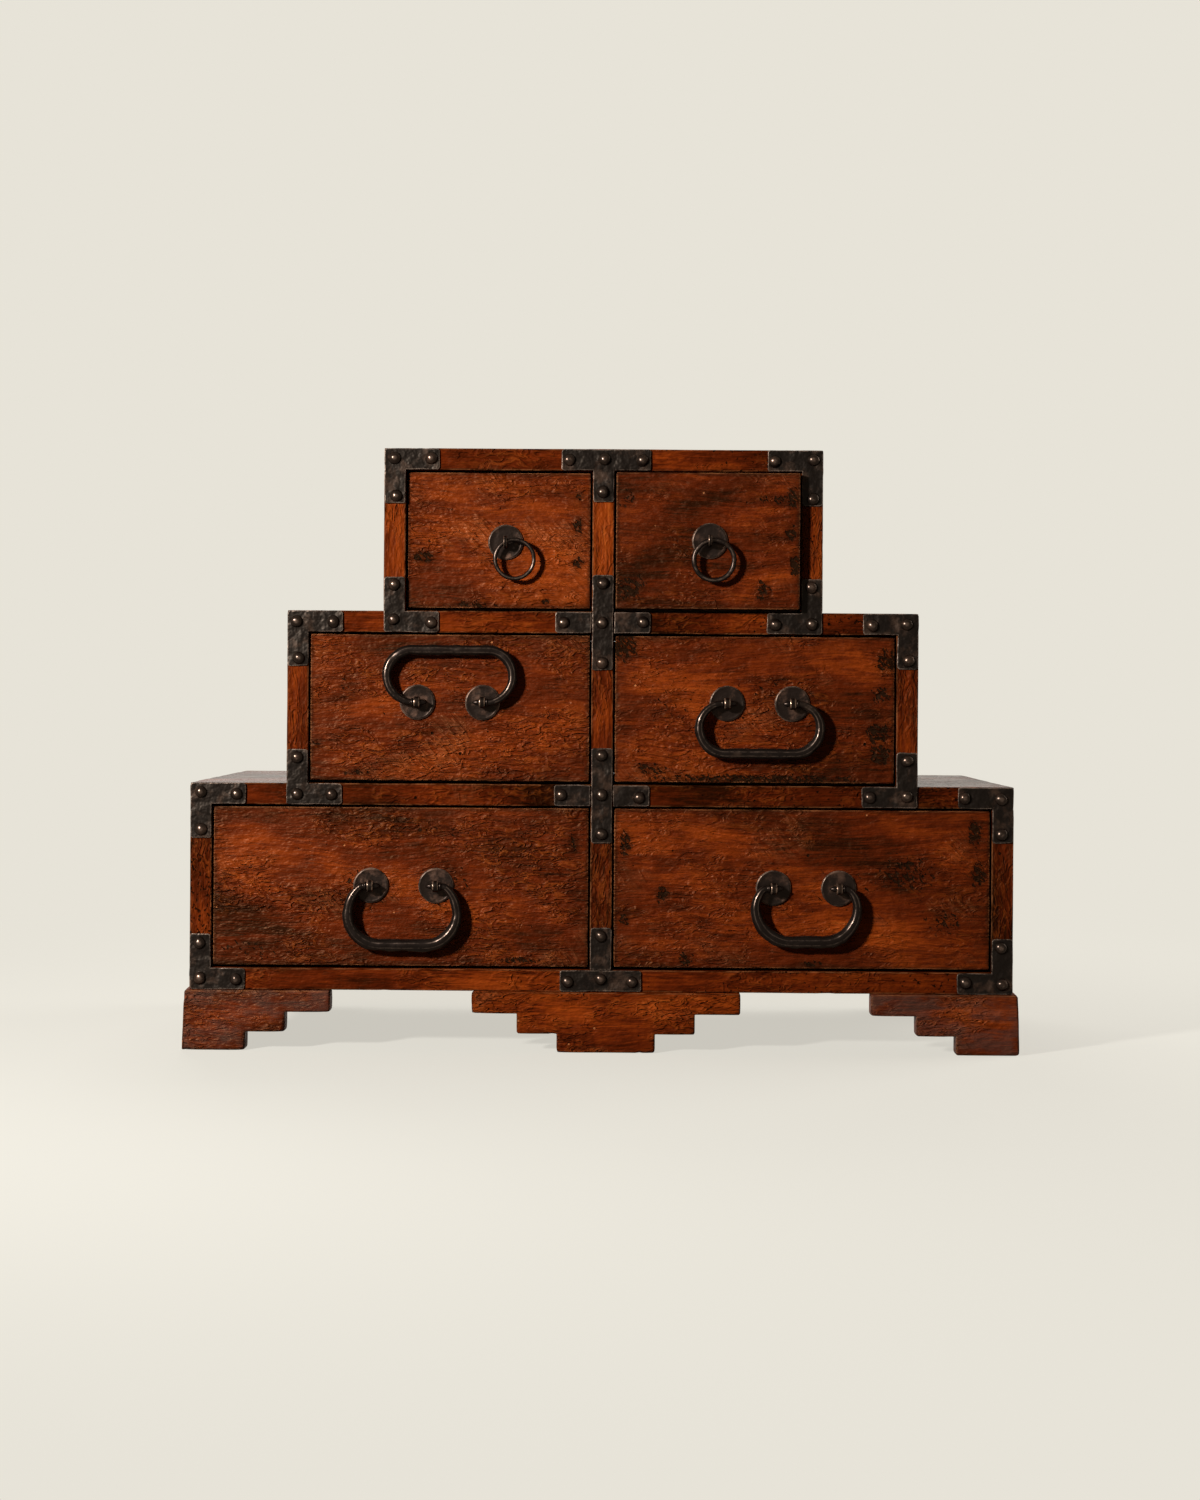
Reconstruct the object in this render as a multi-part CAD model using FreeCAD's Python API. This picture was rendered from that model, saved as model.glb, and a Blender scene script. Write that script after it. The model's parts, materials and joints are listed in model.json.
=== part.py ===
"""Step chest: three tiers, each with two drawers side by side, on bracket feet.

Millimetres. +Z is up and the drawers open towards -Y. The origin lies on the floor, under the
middle of the whole object's box.
"""

import FreeCAD
import Part

import collections
import math
import os

# Carcass: boards laid flat run the full width of their tier, upright boards stand between them
board = 16.0
case_depth = 260.0
lower_width = 600.0
tread = 70.0  # how far each tier steps in at each side
lower_opening = 119.0  # clear height of each tier, board to board
middle_opening = 110.0
upper_opening = 102.5
back_panel = 8.0

# Bracket feet: mitred pairs of stepped boards at the corners, one stepped board at the front centre
foot_height = 44.0
foot_board = 16.0
foot_overhang = 3.5  # how far the feet stand out past the front and the sides of the carcass
ear_height = 16.0  # top step of every bracket
step_height = 14.5  # middle step; the toe takes the rest
corner_ear_length = 107.0  # along the front and the back
corner_step_length = 74.0
corner_toe_length = 45.0
side_ear_length = 86.0  # along the sides
side_step_length = 62.0
side_toe_length = 40.0
centre_ear_width = 196.0
centre_step_width = 130.0
centre_toe_width = 72.0
centre_foot_shift = 4.0  # to the right of the middle
block_side = 22.0  # square glue blocks behind the brackets
block_short = 3.0  # the blocks end this far above the floor

# Drawers
front_board = 16.0
side_board = 9.0  # sides and back
drawer_bottom = 6.0
front_lap = 9.0  # housing in the back of the front that takes the end of a side board
drawer_gap = 1.2  # at each side of a drawer
front_lift = 2.0  # under a drawer front
front_head_gap = 1.4  # over a drawer front
side_drop = 8.0  # sides and back end this far under the top of the front
rear_gap = 5.0  # behind a drawer that is shut flush
upper_left_stand_out = -2.5  # how far a drawer stands out of the carcass as it was left
upper_right_stand_out = 8.0

# Iron straps, as wide as the board edges that they cover
strap_thickness = 1.2
strap_corner = 2.0  # rounding of the free corners
strap_seam = 0.4  # between straps that butt
corner_strap_length = 41.0  # each leg, from the outer corner
tee_reach = 32.5  # from the middle of the post
tee_stem = 39.0  # from the top of the chest
cross_reach = 35.0  # from the middle of the crossing
base_bar_reach = 30.0  # from the middle of the post
base_stub = 47.0  # from the underside of the carcass

# Dome headed nails
nail_head = 4.3  # radius
nail_dome = 3.0
nail_shank = 1.1  # radius
nail_length = 12.0  # from under the head
nail_point = 3.0
nail_hole_gap = 0.15
nail_inset = 6.5  # from the free end of a strap

# Rosettes and the eye pins that pass through them and through the drawer front
rosette_radius = 13.0
rosette_thickness = 1.2
rosette_chamfer = 0.6
eye_strip = 2.0  # iron around an eye
eye_neck = 1.0  # between an eye and its rosette
pin_leg = 1.8  # each of the two legs of a pin
pin_hole_gap = 0.15
clench_reach = 12.0  # how far the legs are bent apart behind the front

# Where each pull sits, from the middle of its drawer front
upper_left_pull_shift = 4.9
upper_left_pull_rise = -1.4
upper_right_pull_shift = 1.4
upper_right_pull_rise = -0.2
middle_left_pull_shift = 0.1
middle_left_pull_rise = 4.0
middle_right_pull_shift = 3.6
middle_right_pull_rise = 4.3
lower_left_pull_shift = 2.0
lower_left_pull_rise = 0.8
lower_right_pull_shift = 3.2
lower_right_pull_rise = 0.8

# Bail pulls, each forged by hand to its own shape
bail_spacing = 47.5  # between the two eyes of a bail
bail_eye_width = 4.5
pintle_radius = 2.0
pintle_gap = 0.3
pintle_run = 1.5  # straight part past the eye, before the point
point_length = 3.5
point_radius = 0.7
eye_play = 0.4  # between an eye and the collar beside it
collar_radius = 3.1
collar_length = 1.6
bail_neck = 4.8  # across the flats, at the collar
middle_bail_bar = 7.6  # across the flats, at the middle of the bar
lower_bail_bar = 9.0
bail_bend = 6.0  # radius of the bend beside the collar
middle_left_bail_half_width = 45.8  # to the middle line of the bar
middle_left_bail_drop = 37.8
middle_right_bail_half_width = 43.9
middle_right_bail_drop = 36.3
middle_bail_lead = 8.0  # degrees that the first bend turns
lower_left_bail_half_width = 39.7
lower_left_bail_drop = 42.8
lower_left_bail_lead = 45.0
lower_right_bail_half_width = 36.8
lower_right_bail_drop = 38.8
lower_right_bail_lead = 50.0
bail_rest_gap = 0.3  # between a raised bail and the drawer front it leans on

# Ring pulls
upper_left_ring_radius = 14.1  # to the middle line of the wire
upper_left_ring_wire = 1.5  # radius
upper_left_ring_lean = 28.0  # degrees that the ring has settled to one side of its eye
upper_right_ring_radius = 14.5
upper_right_ring_wire = 1.8
upper_right_ring_lean = 11.0
ring_eye_width = 2.6
ring_gap = 0.25

cut_overrun = 5.0  # how far a cutting solid runs past what it cuts

# Heights and widths that follow from the driving sizes
middle_width = lower_width - 2 * tread
upper_width = middle_width - 2 * tread
lower_floor = foot_height + board
middle_floor = lower_floor + lower_opening + board
upper_floor = middle_floor + middle_opening + board
case_top = upper_floor + upper_opening + board


Ring = collections.namedtuple("Ring", "radius wire lean")
Bail = collections.namedtuple("Bail", "half_width drop lead bar")
rings = {
    "upper_left": Ring(upper_left_ring_radius, upper_left_ring_wire, upper_left_ring_lean),
    "upper_right": Ring(upper_right_ring_radius, upper_right_ring_wire, upper_right_ring_lean),
}
bails = {
    "middle_left": Bail(
        middle_left_bail_half_width, middle_left_bail_drop, middle_bail_lead, middle_bail_bar
    ),
    "middle_right": Bail(
        middle_right_bail_half_width, middle_right_bail_drop, middle_bail_lead, middle_bail_bar
    ),
    "lower_left": Bail(
        lower_left_bail_half_width, lower_left_bail_drop, lower_left_bail_lead, lower_bail_bar
    ),
    "lower_right": Bail(
        lower_right_bail_half_width, lower_right_bail_drop, lower_right_bail_lead, lower_bail_bar
    ),
}
raised_bails = ["middle_left"]


def ring_bore(form):
    """Radius of the eye that a ring passes through at its lean."""
    slope = math.radians(form.lean)
    return form.wire / math.cos(slope) + ring_eye_width / 2 * math.tan(slope) + ring_gap


bail_bore = pintle_radius + pintle_gap


def eye_radius(bore):
    """Outer radius of an eye with this bore."""
    return bore + eye_strip


def axis_reach(bore):
    """How far in front of a drawer front the middle of an eye stands."""
    return rosette_thickness + eye_neck + eye_radius(bore)


# The foremost point is the eye of the ring on the drawer that stands out furthest
right_ring_bore = ring_bore(rings["upper_right"])
front_reach = upper_right_stand_out + axis_reach(right_ring_bore) + eye_radius(right_ring_bore)
front_y = (front_reach - case_depth) / 2
back_y = front_y + case_depth

Tier = collections.namedtuple("Tier", "name width floor opening")
tiers = [
    Tier("lower", lower_width, lower_floor, lower_opening),
    Tier("middle", middle_width, middle_floor, middle_opening),
    Tier("upper", upper_width, upper_floor, upper_opening),
]
stand_outs = {"upper_left": upper_left_stand_out, "upper_right": upper_right_stand_out}
pull_places = {
    "upper_left": (upper_left_pull_shift, upper_left_pull_rise),
    "upper_right": (upper_right_pull_shift, upper_right_pull_rise),
    "middle_left": (middle_left_pull_shift, middle_left_pull_rise),
    "middle_right": (middle_right_pull_shift, middle_right_pull_rise),
    "lower_left": (lower_left_pull_shift, lower_left_pull_rise),
    "lower_right": (lower_right_pull_shift, lower_right_pull_rise),
}

along_x = FreeCAD.Vector(1, 0, 0)
along_y = FreeCAD.Vector(0, 1, 0)


def box(x0, x1, y0, y1, z0, z1):
    """A board with its six faces at these places."""
    return Part.makeBox(x1 - x0, y1 - y0, z1 - z0, FreeCAD.Vector(x0, y0, z0))


def prism(points, sweep):
    """A polygon's face, swept along a vector."""
    return Part.Face(Part.makePolygon(points + points[:1])).extrude(sweep)


def joined(shapes):
    """One solid from shapes that meet."""
    return shapes[0].multiFuse(shapes[1:]).removeSplitter().Solids[0]


# Carcass


def flat_board(width, top):
    """A board laid flat across the chest with its upper face at this height."""
    return box(-width / 2, width / 2, front_y, back_y, top - board, top)


def tier_sides(tier):
    """The two upright boards at the ends of a tier."""
    outer = tier.width / 2
    top = tier.floor + tier.opening
    left = box(-outer, board - outer, front_y, back_y, tier.floor, top)
    right = box(outer - board, outer, front_y, back_y, tier.floor, top)
    return [left, right]


def tier_partition(tier):
    """The upright board between the two drawers of a tier."""
    top = tier.floor + tier.opening
    return box(-board / 2, board / 2, front_y, back_y - back_panel, tier.floor, top)


def tier_back(tier):
    """The panel that closes a tier behind, let in between its boards."""
    inner = tier.width / 2 - board
    return box(-inner, inner, back_y - back_panel, back_y, tier.floor, tier.floor + tier.opening)


# Bracket feet


def stepped_outline(ear, step, toe):
    """Points of half a bracket in the XZ plane, from its outer end at x 0."""
    under_ear = foot_height - ear_height
    under_step = under_ear - step_height
    corners = [(0, foot_height), (ear, foot_height), (ear, under_ear), (step, under_ear)]
    corners += [(step, under_step), (toe, under_step), (toe, 0), (0, 0)]
    return [FreeCAD.Vector(x, 0, z) for x, z in corners]


def mitred_bracket(ear, step, toe):
    """A stepped board along +X from a corner at the origin, its end mitred for the next board."""
    slab = prism(stepped_outline(ear, step, toe), along_y * foot_board)
    plan = [(0, 0), (ear, 0), (ear, foot_board), (foot_board, foot_board)]
    mitre = prism([FreeCAD.Vector(x, y, 0) for x, y in plan], FreeCAD.Vector(0, 0, foot_height))
    return slab.common(mitre).Solids[0]


def at_corner(shape, side, end):
    """Takes a shape from the corner at the origin to a corner of the carcass.

    side is -1 for the left and 1 for the right, end is -1 for the front and 1 for the back.
    """
    origin = FreeCAD.Vector(0, 0, 0)
    placed = shape.mirror(origin, along_x) if side > 0 else shape.copy()
    placed = placed.mirror(origin, along_y) if end > 0 else placed
    corner_y = front_y - foot_overhang if end < 0 else back_y
    placed.translate(FreeCAD.Vector(side * (lower_width / 2 + foot_overhang), corner_y, 0))
    return placed


def corner_feet(end):
    """The four bracket boards of the two corner feet at the front or the back."""
    along = mitred_bracket(corner_ear_length, corner_step_length, corner_toe_length)
    across = mitred_bracket(side_ear_length, side_step_length, side_toe_length)
    across = across.mirror(FreeCAD.Vector(0, 0, 0), along_x - along_y)
    return [at_corner(shape, side, end) for side in (-1, 1) for shape in (along, across)]


def centre_foot():
    """The board at the middle of the front, stepped at both ends."""
    half = stepped_outline(centre_ear_width / 2, centre_step_width / 2, centre_toe_width / 2)[1:-1]
    mirrored = [FreeCAD.Vector(-point.x, 0, point.z) for point in reversed(half)]
    foot = prism(half + mirrored, along_y * foot_board)
    foot.translate(FreeCAD.Vector(centre_foot_shift, front_y - foot_overhang, 0))
    return foot


def foot_blocks():
    """Glue blocks in the four corner feet, and two behind the centre foot."""
    near = foot_board
    far = foot_board + block_side
    corner = box(near, far, near, far, block_short, foot_height)
    blocks = [at_corner(corner, side, end) for side in (-1, 1) for end in (-1, 1)]
    behind = front_y - foot_overhang + foot_board
    outer = centre_toe_width / 2
    inner = outer - block_side
    for x0, x1 in ((-outer, -inner), (inner, outer)):
        x0 += centre_foot_shift
        x1 += centre_foot_shift
        blocks.append(box(x0, x1, behind, behind + block_side, block_short, foot_height))
    return blocks


# Straps and nails

nails = []


def rounded_plate(outline):
    """A flat plate on the carcass front. outline is (x, z, rounded) for each square corner."""
    points = [FreeCAD.Vector(x, front_y, z) for x, z, _ in outline]
    starts, ends, arcs = [], [], []
    for i, (_, _, rounded) in enumerate(outline):
        corner = points[i]
        radius = strap_corner if rounded else 0
        before = (points[i - 1] - corner).normalize() * radius
        after = (points[(i + 1) % len(points)] - corner).normalize() * radius
        starts.append(corner + before)
        ends.append(corner + after)
        if rounded:
            middle = corner + (before + after) * (1 - math.sqrt(1 / 2))
            arcs.append(Part.Arc(starts[i], middle, ends[i]).toShape())
    runs = [Part.makeLine(ends[i - 1], starts[i]) for i in range(len(points))]
    outline_wire = Part.Wire(Part.__sortEdges__(runs + arcs))
    return Part.Face(outline_wire).extrude(along_y * -strap_thickness)


def nail():
    """A dome headed nail along Y, with the underside of its head at the origin."""
    sphere = (nail_head**2 + nail_dome**2) / (2 * nail_dome)
    half_angle = math.asin(nail_head / sphere) / 2
    shoulder_x = sphere * math.sin(half_angle)
    shoulder_y = nail_dome - sphere * (1 - math.cos(half_angle))
    crown = FreeCAD.Vector(0, -nail_dome, 0)
    shoulder = FreeCAD.Vector(shoulder_x, -shoulder_y, 0)
    rim = FreeCAD.Vector(nail_head, 0, 0)
    outline = [rim, FreeCAD.Vector(nail_shank, 0, 0)]
    outline.append(FreeCAD.Vector(nail_shank, nail_length - nail_point, 0))
    outline += [FreeCAD.Vector(0, nail_length, 0), crown]
    edges = [Part.Arc(crown, shoulder, rim).toShape()]
    edges += [Part.makeLine(a, b) for a, b in zip(outline, outline[1:])]
    return Part.Face(Part.Wire(edges)).revolve(FreeCAD.Vector(0, 0, 0), along_y, 360)


one_nail = nail()


def strap(outline, nail_places):
    """A plate with a hole at each nail place, and the nails driven through it."""
    plate = rounded_plate(outline)
    for x, z in nail_places:
        start = FreeCAD.Vector(x, front_y - strap_thickness - cut_overrun, z)
        hole_depth = strap_thickness + 2 * cut_overrun
        plate = plate.cut(Part.makeCylinder(nail_shank + nail_hole_gap, hole_depth, start, along_y))
        driven = one_nail.copy()
        driven.translate(FreeCAD.Vector(x, front_y - strap_thickness, z))
        nails.append(driven)
    return plate.Solids[0]


def corner_strap(x, z, inward, rise):
    """An L over the corner at (x, z). inward and rise are 1 or -1, the way that its legs run."""
    legs = [(0, 0, True), (corner_strap_length, 0, True), (corner_strap_length, board, True)]
    legs += [(board, board, False), (board, corner_strap_length, True), (0, corner_strap_length, True)]
    end = corner_strap_length - nail_inset
    places = [(board / 2, board / 2), (end, board / 2), (board / 2, end)]
    outline = [(x + inward * a, z + rise * b, rounded) for a, b, rounded in legs]
    return strap(outline, [(x + inward * a, z + rise * b) for a, b in places])


def corner_straps():
    """An L at each of the four corners of every tier."""
    straps = []
    for tier in tiers:
        for side in (-1, 1):
            outer = side * tier.width / 2
            straps.append(corner_strap(outer, tier.floor - board, -side, 1))
            straps.append(corner_strap(outer, tier.floor + tier.opening + board, -side, -1))
    return straps


def bar(x0, x1, z0, z1, round_low, round_high, nail_places):
    """A straight strap. round_low and round_high say which end's corners are rounded."""
    corners = [(x0, z0, round_low), (x1, z0, round_low if z1 - z0 > x1 - x0 else round_high)]
    corners += [(x1, z1, round_high), (x0, z1, round_high if z1 - z0 > x1 - x0 else round_low)]
    return strap(corners, nail_places)


def tee_strap():
    """The T at the head of the upper partition."""
    half = board / 2
    under = case_top - board
    low = case_top - tee_stem
    right = [(tee_reach, case_top, True), (tee_reach, under, True), (half, under, False), (half, low, True)]
    outline = right + [(-x, z, rounded) for x, z, rounded in reversed(right)]
    end = tee_reach - nail_inset
    rail = case_top - half
    return strap(outline, [(0, rail), (end, rail), (-end, rail), (0, low + nail_inset)])


def cross_straps(middle):
    """An upright strap over a crossing at this height, and a short one butted at each side."""
    half = board / 2
    end = cross_reach - nail_inset
    uprights = [(0, middle), (0, middle + end), (0, middle - end)]
    straps = [bar(-half, half, middle - cross_reach, middle + cross_reach, True, True, uprights)]
    start = half + strap_seam
    rail = (middle - half, middle + half)
    straps.append(bar(start, cross_reach, *rail, False, True, [(end, middle)]))
    straps.append(bar(-cross_reach, -start, *rail, True, False, [(-end, middle)]))
    return straps


def base_straps():
    """The bar under the lower partition, and the upright stub butted on it."""
    half = board / 2
    rail = foot_height + half
    end = base_bar_reach - nail_inset
    places = [(0, rail), (end, rail), (-end, rail)]
    straps = [bar(-base_bar_reach, base_bar_reach, foot_height, lower_floor, True, True, places)]
    top = foot_height + base_stub
    start = lower_floor + strap_seam
    straps.append(bar(-half, half, start, top, False, True, [(0, top - nail_inset)]))
    return straps


def post_straps():
    """Everything nailed over the middle posts, from top to bottom."""
    straps = [tee_strap()]
    for floor in (upper_floor, middle_floor):
        straps += cross_straps(floor - board / 2)
    return straps + base_straps()


# Pulls

Pull = collections.namedtuple("Pull", "x z eyes bore eye_width")


def across(radius, x0, x1, y, z):
    """A cylinder along X."""
    return Part.makeCylinder(radius, x1 - x0, FreeCAD.Vector(x0, y, z), along_x)


def eye_pin(pull, x, face_y):
    """A split pin: an eye in front, two legs through the drawer front, bent apart behind it."""
    z = pull.z
    half = pull.eye_width / 2
    axis_y = face_y - axis_reach(pull.bore)
    inside_y = face_y + front_board
    eye = across(eye_radius(pull.bore), x - half, x + half, axis_y, z)
    shank_y = axis_y + pull.bore + eye_strip / 2
    shank = box(x - half, x + half, shank_y, inside_y, z - pin_leg, z + pin_leg)
    clench_z = (z - clench_reach, z + clench_reach)
    clench = box(x - half, x + half, inside_y, inside_y + pin_leg, *clench_z)
    hole = across(pull.bore, x - half - cut_overrun, x + half + cut_overrun, axis_y, z)
    return joined([eye, shank, clench]).cut(hole).Solids[0]


def pin_hole(pull, x, face_y):
    """The square hole for a pin through its rosette and the drawer front."""
    half_width = pull.eye_width / 2 + pin_hole_gap
    half_height = pin_leg + pin_hole_gap
    start = face_y - rosette_thickness - cut_overrun
    end = face_y + front_board + cut_overrun
    return box(x - half_width, x + half_width, start, end, pull.z - half_height, pull.z + half_height)


def rosette(pull, x, face_y):
    """A chamfered disc under an eye."""
    base = FreeCAD.Vector(x, face_y, pull.z)
    disc = Part.makeCylinder(rosette_radius, rosette_thickness, base, along_y * -1)
    outer_y = face_y - rosette_thickness
    rim = [e for e in disc.Edges if e.Closed and abs(e.CenterOfMass.y - outer_y) < rosette_chamfer]
    return disc.makeChamfer(rosette_chamfer, rim).cut(pin_hole(pull, x, face_y)).Solids[0]


def ring(pull, face_y, form):
    """A round ring that hangs through its eye, settled to one side by its lean."""
    slope = math.radians(form.lean)
    axis = FreeCAD.Vector(pull.x, face_y - axis_reach(pull.bore), pull.z)
    offset = FreeCAD.Vector(math.sin(slope), 0, -math.cos(slope)) * form.radius
    return Part.makeTorus(form.radius, form.wire, axis + offset, along_y)


Station = collections.namedtuple("Station", "across down heading run")
arc_steps = 6  # stations along each bend of a bail


def bail_stations(form):
    """Half of a bail's middle line, from the collar to the middle of the bar.

    heading is in radians, 0 for outwards and a quarter turn for downwards; run is the length so far.
    """
    start = bail_spacing / 2 + bail_eye_width / 2 + eye_play + collar_length
    stations = [Station(start, 0, 0, 0)]

    def bend(radius, heading):
        begin = stations[-1]
        for i in range(1, arc_steps + 1):
            turned = begin.heading + (heading - begin.heading) * i / arc_steps
            reached = begin.across + radius * (math.sin(turned) - math.sin(begin.heading))
            lowered = begin.down + radius * (math.cos(begin.heading) - math.cos(turned))
            run = begin.run + radius * (turned - begin.heading)
            stations.append(Station(reached, lowered, turned, run))

    first = math.radians(form.lead)
    bend(bail_bend, first)
    bend((form.half_width - stations[-1].across) / (1 - math.sin(first)), math.pi / 2)
    bend(form.drop - stations[-1].down, math.pi)
    last = stations[-1]
    stations.append(Station(0, last.down, last.heading, last.run + last.across))
    return stations


def bail_section(station, side, share, bar_flats):
    """Eight sided section of a bail at a station. side is 1 for the right half and -1 for the left.

    share is how much of the way from the collar to the middle of the bar the station lies.
    """
    flats = bail_neck + (bar_flats - bail_neck) * math.sin(math.pi / 2 * share)
    corner = flats / 2 / math.cos(math.pi / 8)
    middle = FreeCAD.Vector(side * station.across, 0, -station.down)
    outward = FreeCAD.Vector(side * math.sin(station.heading), 0, math.cos(station.heading))
    angles = [math.pi / 8 * (2 * k + 1) for k in range(8)]
    points = [middle + (outward * math.cos(a) + along_y * math.sin(a)) * corner for a in angles]
    return Part.makePolygon(points + points[:1])


def pintle(side):
    """The round end of a bail: a collar outside the eye, a pin through it and a point past it."""
    eye_outer = bail_spacing / 2 + bail_eye_width / 2
    eye_inner = bail_spacing / 2 - bail_eye_width / 2
    collar_start = eye_outer + eye_play
    outward = along_x * side
    collar = Part.makeCylinder(collar_radius, collar_length, outward * collar_start, outward)
    pin_start = eye_inner - pintle_run
    pin = Part.makeCylinder(pintle_radius, collar_start - pin_start, outward * pin_start, outward)
    point = Part.makeCone(pintle_radius, point_radius, point_length, outward * pin_start, outward * -1)
    return [collar, pin, point]


def bail_lean(form):
    """Degrees past upright at which a bail comes to rest on the drawer front."""
    clear = axis_reach(bail_bore) - form.bar / 2 - bail_rest_gap
    return math.degrees(math.asin(clear / form.drop))


def bail(pull, face_y, form, raised):
    """A drop handle with its pintles in two eyes, hanging or turned up against the front."""
    stations = bail_stations(form)
    shares = [station.run / stations[-1].run for station in stations]
    halfway = list(zip(stations, shares))
    sections = [bail_section(station, 1, share, form.bar) for station, share in halfway]
    sections += [bail_section(station, -1, share, form.bar) for station, share in reversed(halfway[:-1])]
    grip = Part.makeLoft(sections, True, True)
    whole = joined([grip] + pintle(1) + pintle(-1))
    if raised:
        whole.rotate(FreeCAD.Vector(0, 0, 0), along_x, 180 - bail_lean(form))
    whole.translate(FreeCAD.Vector(pull.x, face_y - axis_reach(pull.bore), pull.z))
    return whole


# Drawers

Drawer = collections.namedtuple("Drawer", "name x0 x1 floor face_y front_low front_top side_top rear_y")


def drawer_of(tier, side):
    """Where the faces of one drawer lie. side is -1 for the left and 1 for the right."""
    name = tier.name + ("_left" if side < 0 else "_right")
    near = board / 2 + drawer_gap
    far = tier.width / 2 - board - drawer_gap
    x0, x1 = (near, far) if side > 0 else (-far, -near)
    face_y = front_y - stand_outs.get(name, 0)
    front_top = tier.floor + tier.opening - front_head_gap
    rear_y = face_y + case_depth - back_panel - rear_gap
    low = tier.floor + front_lift
    return Drawer(name, x0, x1, tier.floor, face_y, low, front_top, front_top - side_drop, rear_y)


def pull_of(drawer):
    """The place of a drawer's pull, and the places, bore and width of its eyes."""
    shift, rise = pull_places[drawer.name]
    x = (drawer.x0 + drawer.x1) / 2 + shift
    z = (drawer.front_low + drawer.front_top) / 2 + rise
    if drawer.name in rings:
        return Pull(x, z, [x], ring_bore(rings[drawer.name]), ring_eye_width)
    return Pull(x, z, [x - bail_spacing / 2, x + bail_spacing / 2], bail_bore, bail_eye_width)


def drawer_front(drawer, pull):
    """The front, with a stopped housing for each side board and holes for the pins."""
    inner_y = drawer.face_y + front_board
    front = box(drawer.x0, drawer.x1, drawer.face_y, inner_y, drawer.front_low, drawer.front_top)
    lap = (inner_y - front_lap, inner_y + cut_overrun, drawer.floor + drawer_bottom, drawer.side_top)
    front = front.cut(box(drawer.x0 - cut_overrun, drawer.x0 + side_board, *lap))
    front = front.cut(box(drawer.x1 - side_board, drawer.x1 + cut_overrun, *lap))
    for x in pull.eyes:
        front = front.cut(pin_hole(pull, x, drawer.face_y))
    return front.Solids[0]


def drawer_sides(drawer):
    """The two side boards, their front ends in the housings of the front."""
    start = drawer.face_y + front_board - front_lap
    rest = (start, drawer.rear_y, drawer.floor + drawer_bottom, drawer.side_top)
    left = box(drawer.x0, drawer.x0 + side_board, *rest)
    right = box(drawer.x1 - side_board, drawer.x1, *rest)
    return [left, right]


def drawer_back(drawer):
    """The back board, between the sides."""
    x0 = drawer.x0 + side_board
    x1 = drawer.x1 - side_board
    low = drawer.floor + drawer_bottom
    return box(x0, x1, drawer.rear_y - side_board, drawer.rear_y, low, drawer.side_top)


def drawer_base(drawer):
    """The bottom, nailed up under the sides and the back, which the drawer runs on."""
    start = drawer.face_y + front_board
    top = drawer.floor + drawer_bottom
    return box(drawer.x0, drawer.x1, start, drawer.rear_y, drawer.floor, top)


def drawer_nodes(tier, side):
    """Every node of one drawer and its pull."""
    drawer = drawer_of(tier, side)
    pull = pull_of(drawer)
    made = {
        "front": [drawer_front(drawer, pull)],
        "sides": drawer_sides(drawer),
        "back": [drawer_back(drawer)],
        "bottom": [drawer_base(drawer)],
        "rosettes": [rosette(pull, x, drawer.face_y) for x in pull.eyes],
        "pins": [eye_pin(pull, x, drawer.face_y) for x in pull.eyes],
    }
    if drawer.name in rings:
        made["ring"] = [ring(pull, drawer.face_y, rings[drawer.name])]
    else:
        raised = drawer.name in raised_bails
        made["bail"] = [bail(pull, drawer.face_y, bails[drawer.name], raised)]
    return {drawer.name + "_" + piece: solids for piece, solids in made.items()}


# The whole chest


def all_nodes():
    """Every node by name, each a list of separate solids."""
    nodes = {
        "base_board": [flat_board(lower_width, lower_floor)],
        "lower_tread": [flat_board(lower_width, middle_floor)],
        "upper_tread": [flat_board(middle_width, upper_floor)],
        "top_board": [flat_board(upper_width, case_top)],
        "back_panels": [tier_back(tier) for tier in tiers],
        "front_feet": corner_feet(-1),
        "rear_feet": corner_feet(1),
        "centre_foot": [centre_foot()],
        "foot_blocks": foot_blocks(),
        "corner_straps": corner_straps(),
        "post_straps": post_straps(),
    }
    nodes["strap_nails"] = nails
    for tier in tiers:
        nodes[tier.name + "_sides"] = tier_sides(tier)
        nodes[tier.name + "_partition"] = [tier_partition(tier)]
        for side in (-1, 1):
            nodes.update(drawer_nodes(tier, side))
    return nodes


def main():
    """Writes one STEP file for each node."""
    os.makedirs("parts", exist_ok=True)
    for name, solids in all_nodes().items():
        shape = solids[0] if len(solids) == 1 else Part.makeCompound(solids)
        shape.exportStep(os.path.join("parts", name + ".step"))


main()
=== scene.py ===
"""Looks of a step chest: stained boards, iron straps, ring and bail pulls, bracket feet.

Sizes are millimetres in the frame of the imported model, and become metres in each mesh.
"""

import itertools
import json
import logging
import math
from dataclasses import dataclass, field
from enum import Enum
from typing import Any

import bpy
import numpy as np
from mathutils import Matrix, Vector, kdtree

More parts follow.
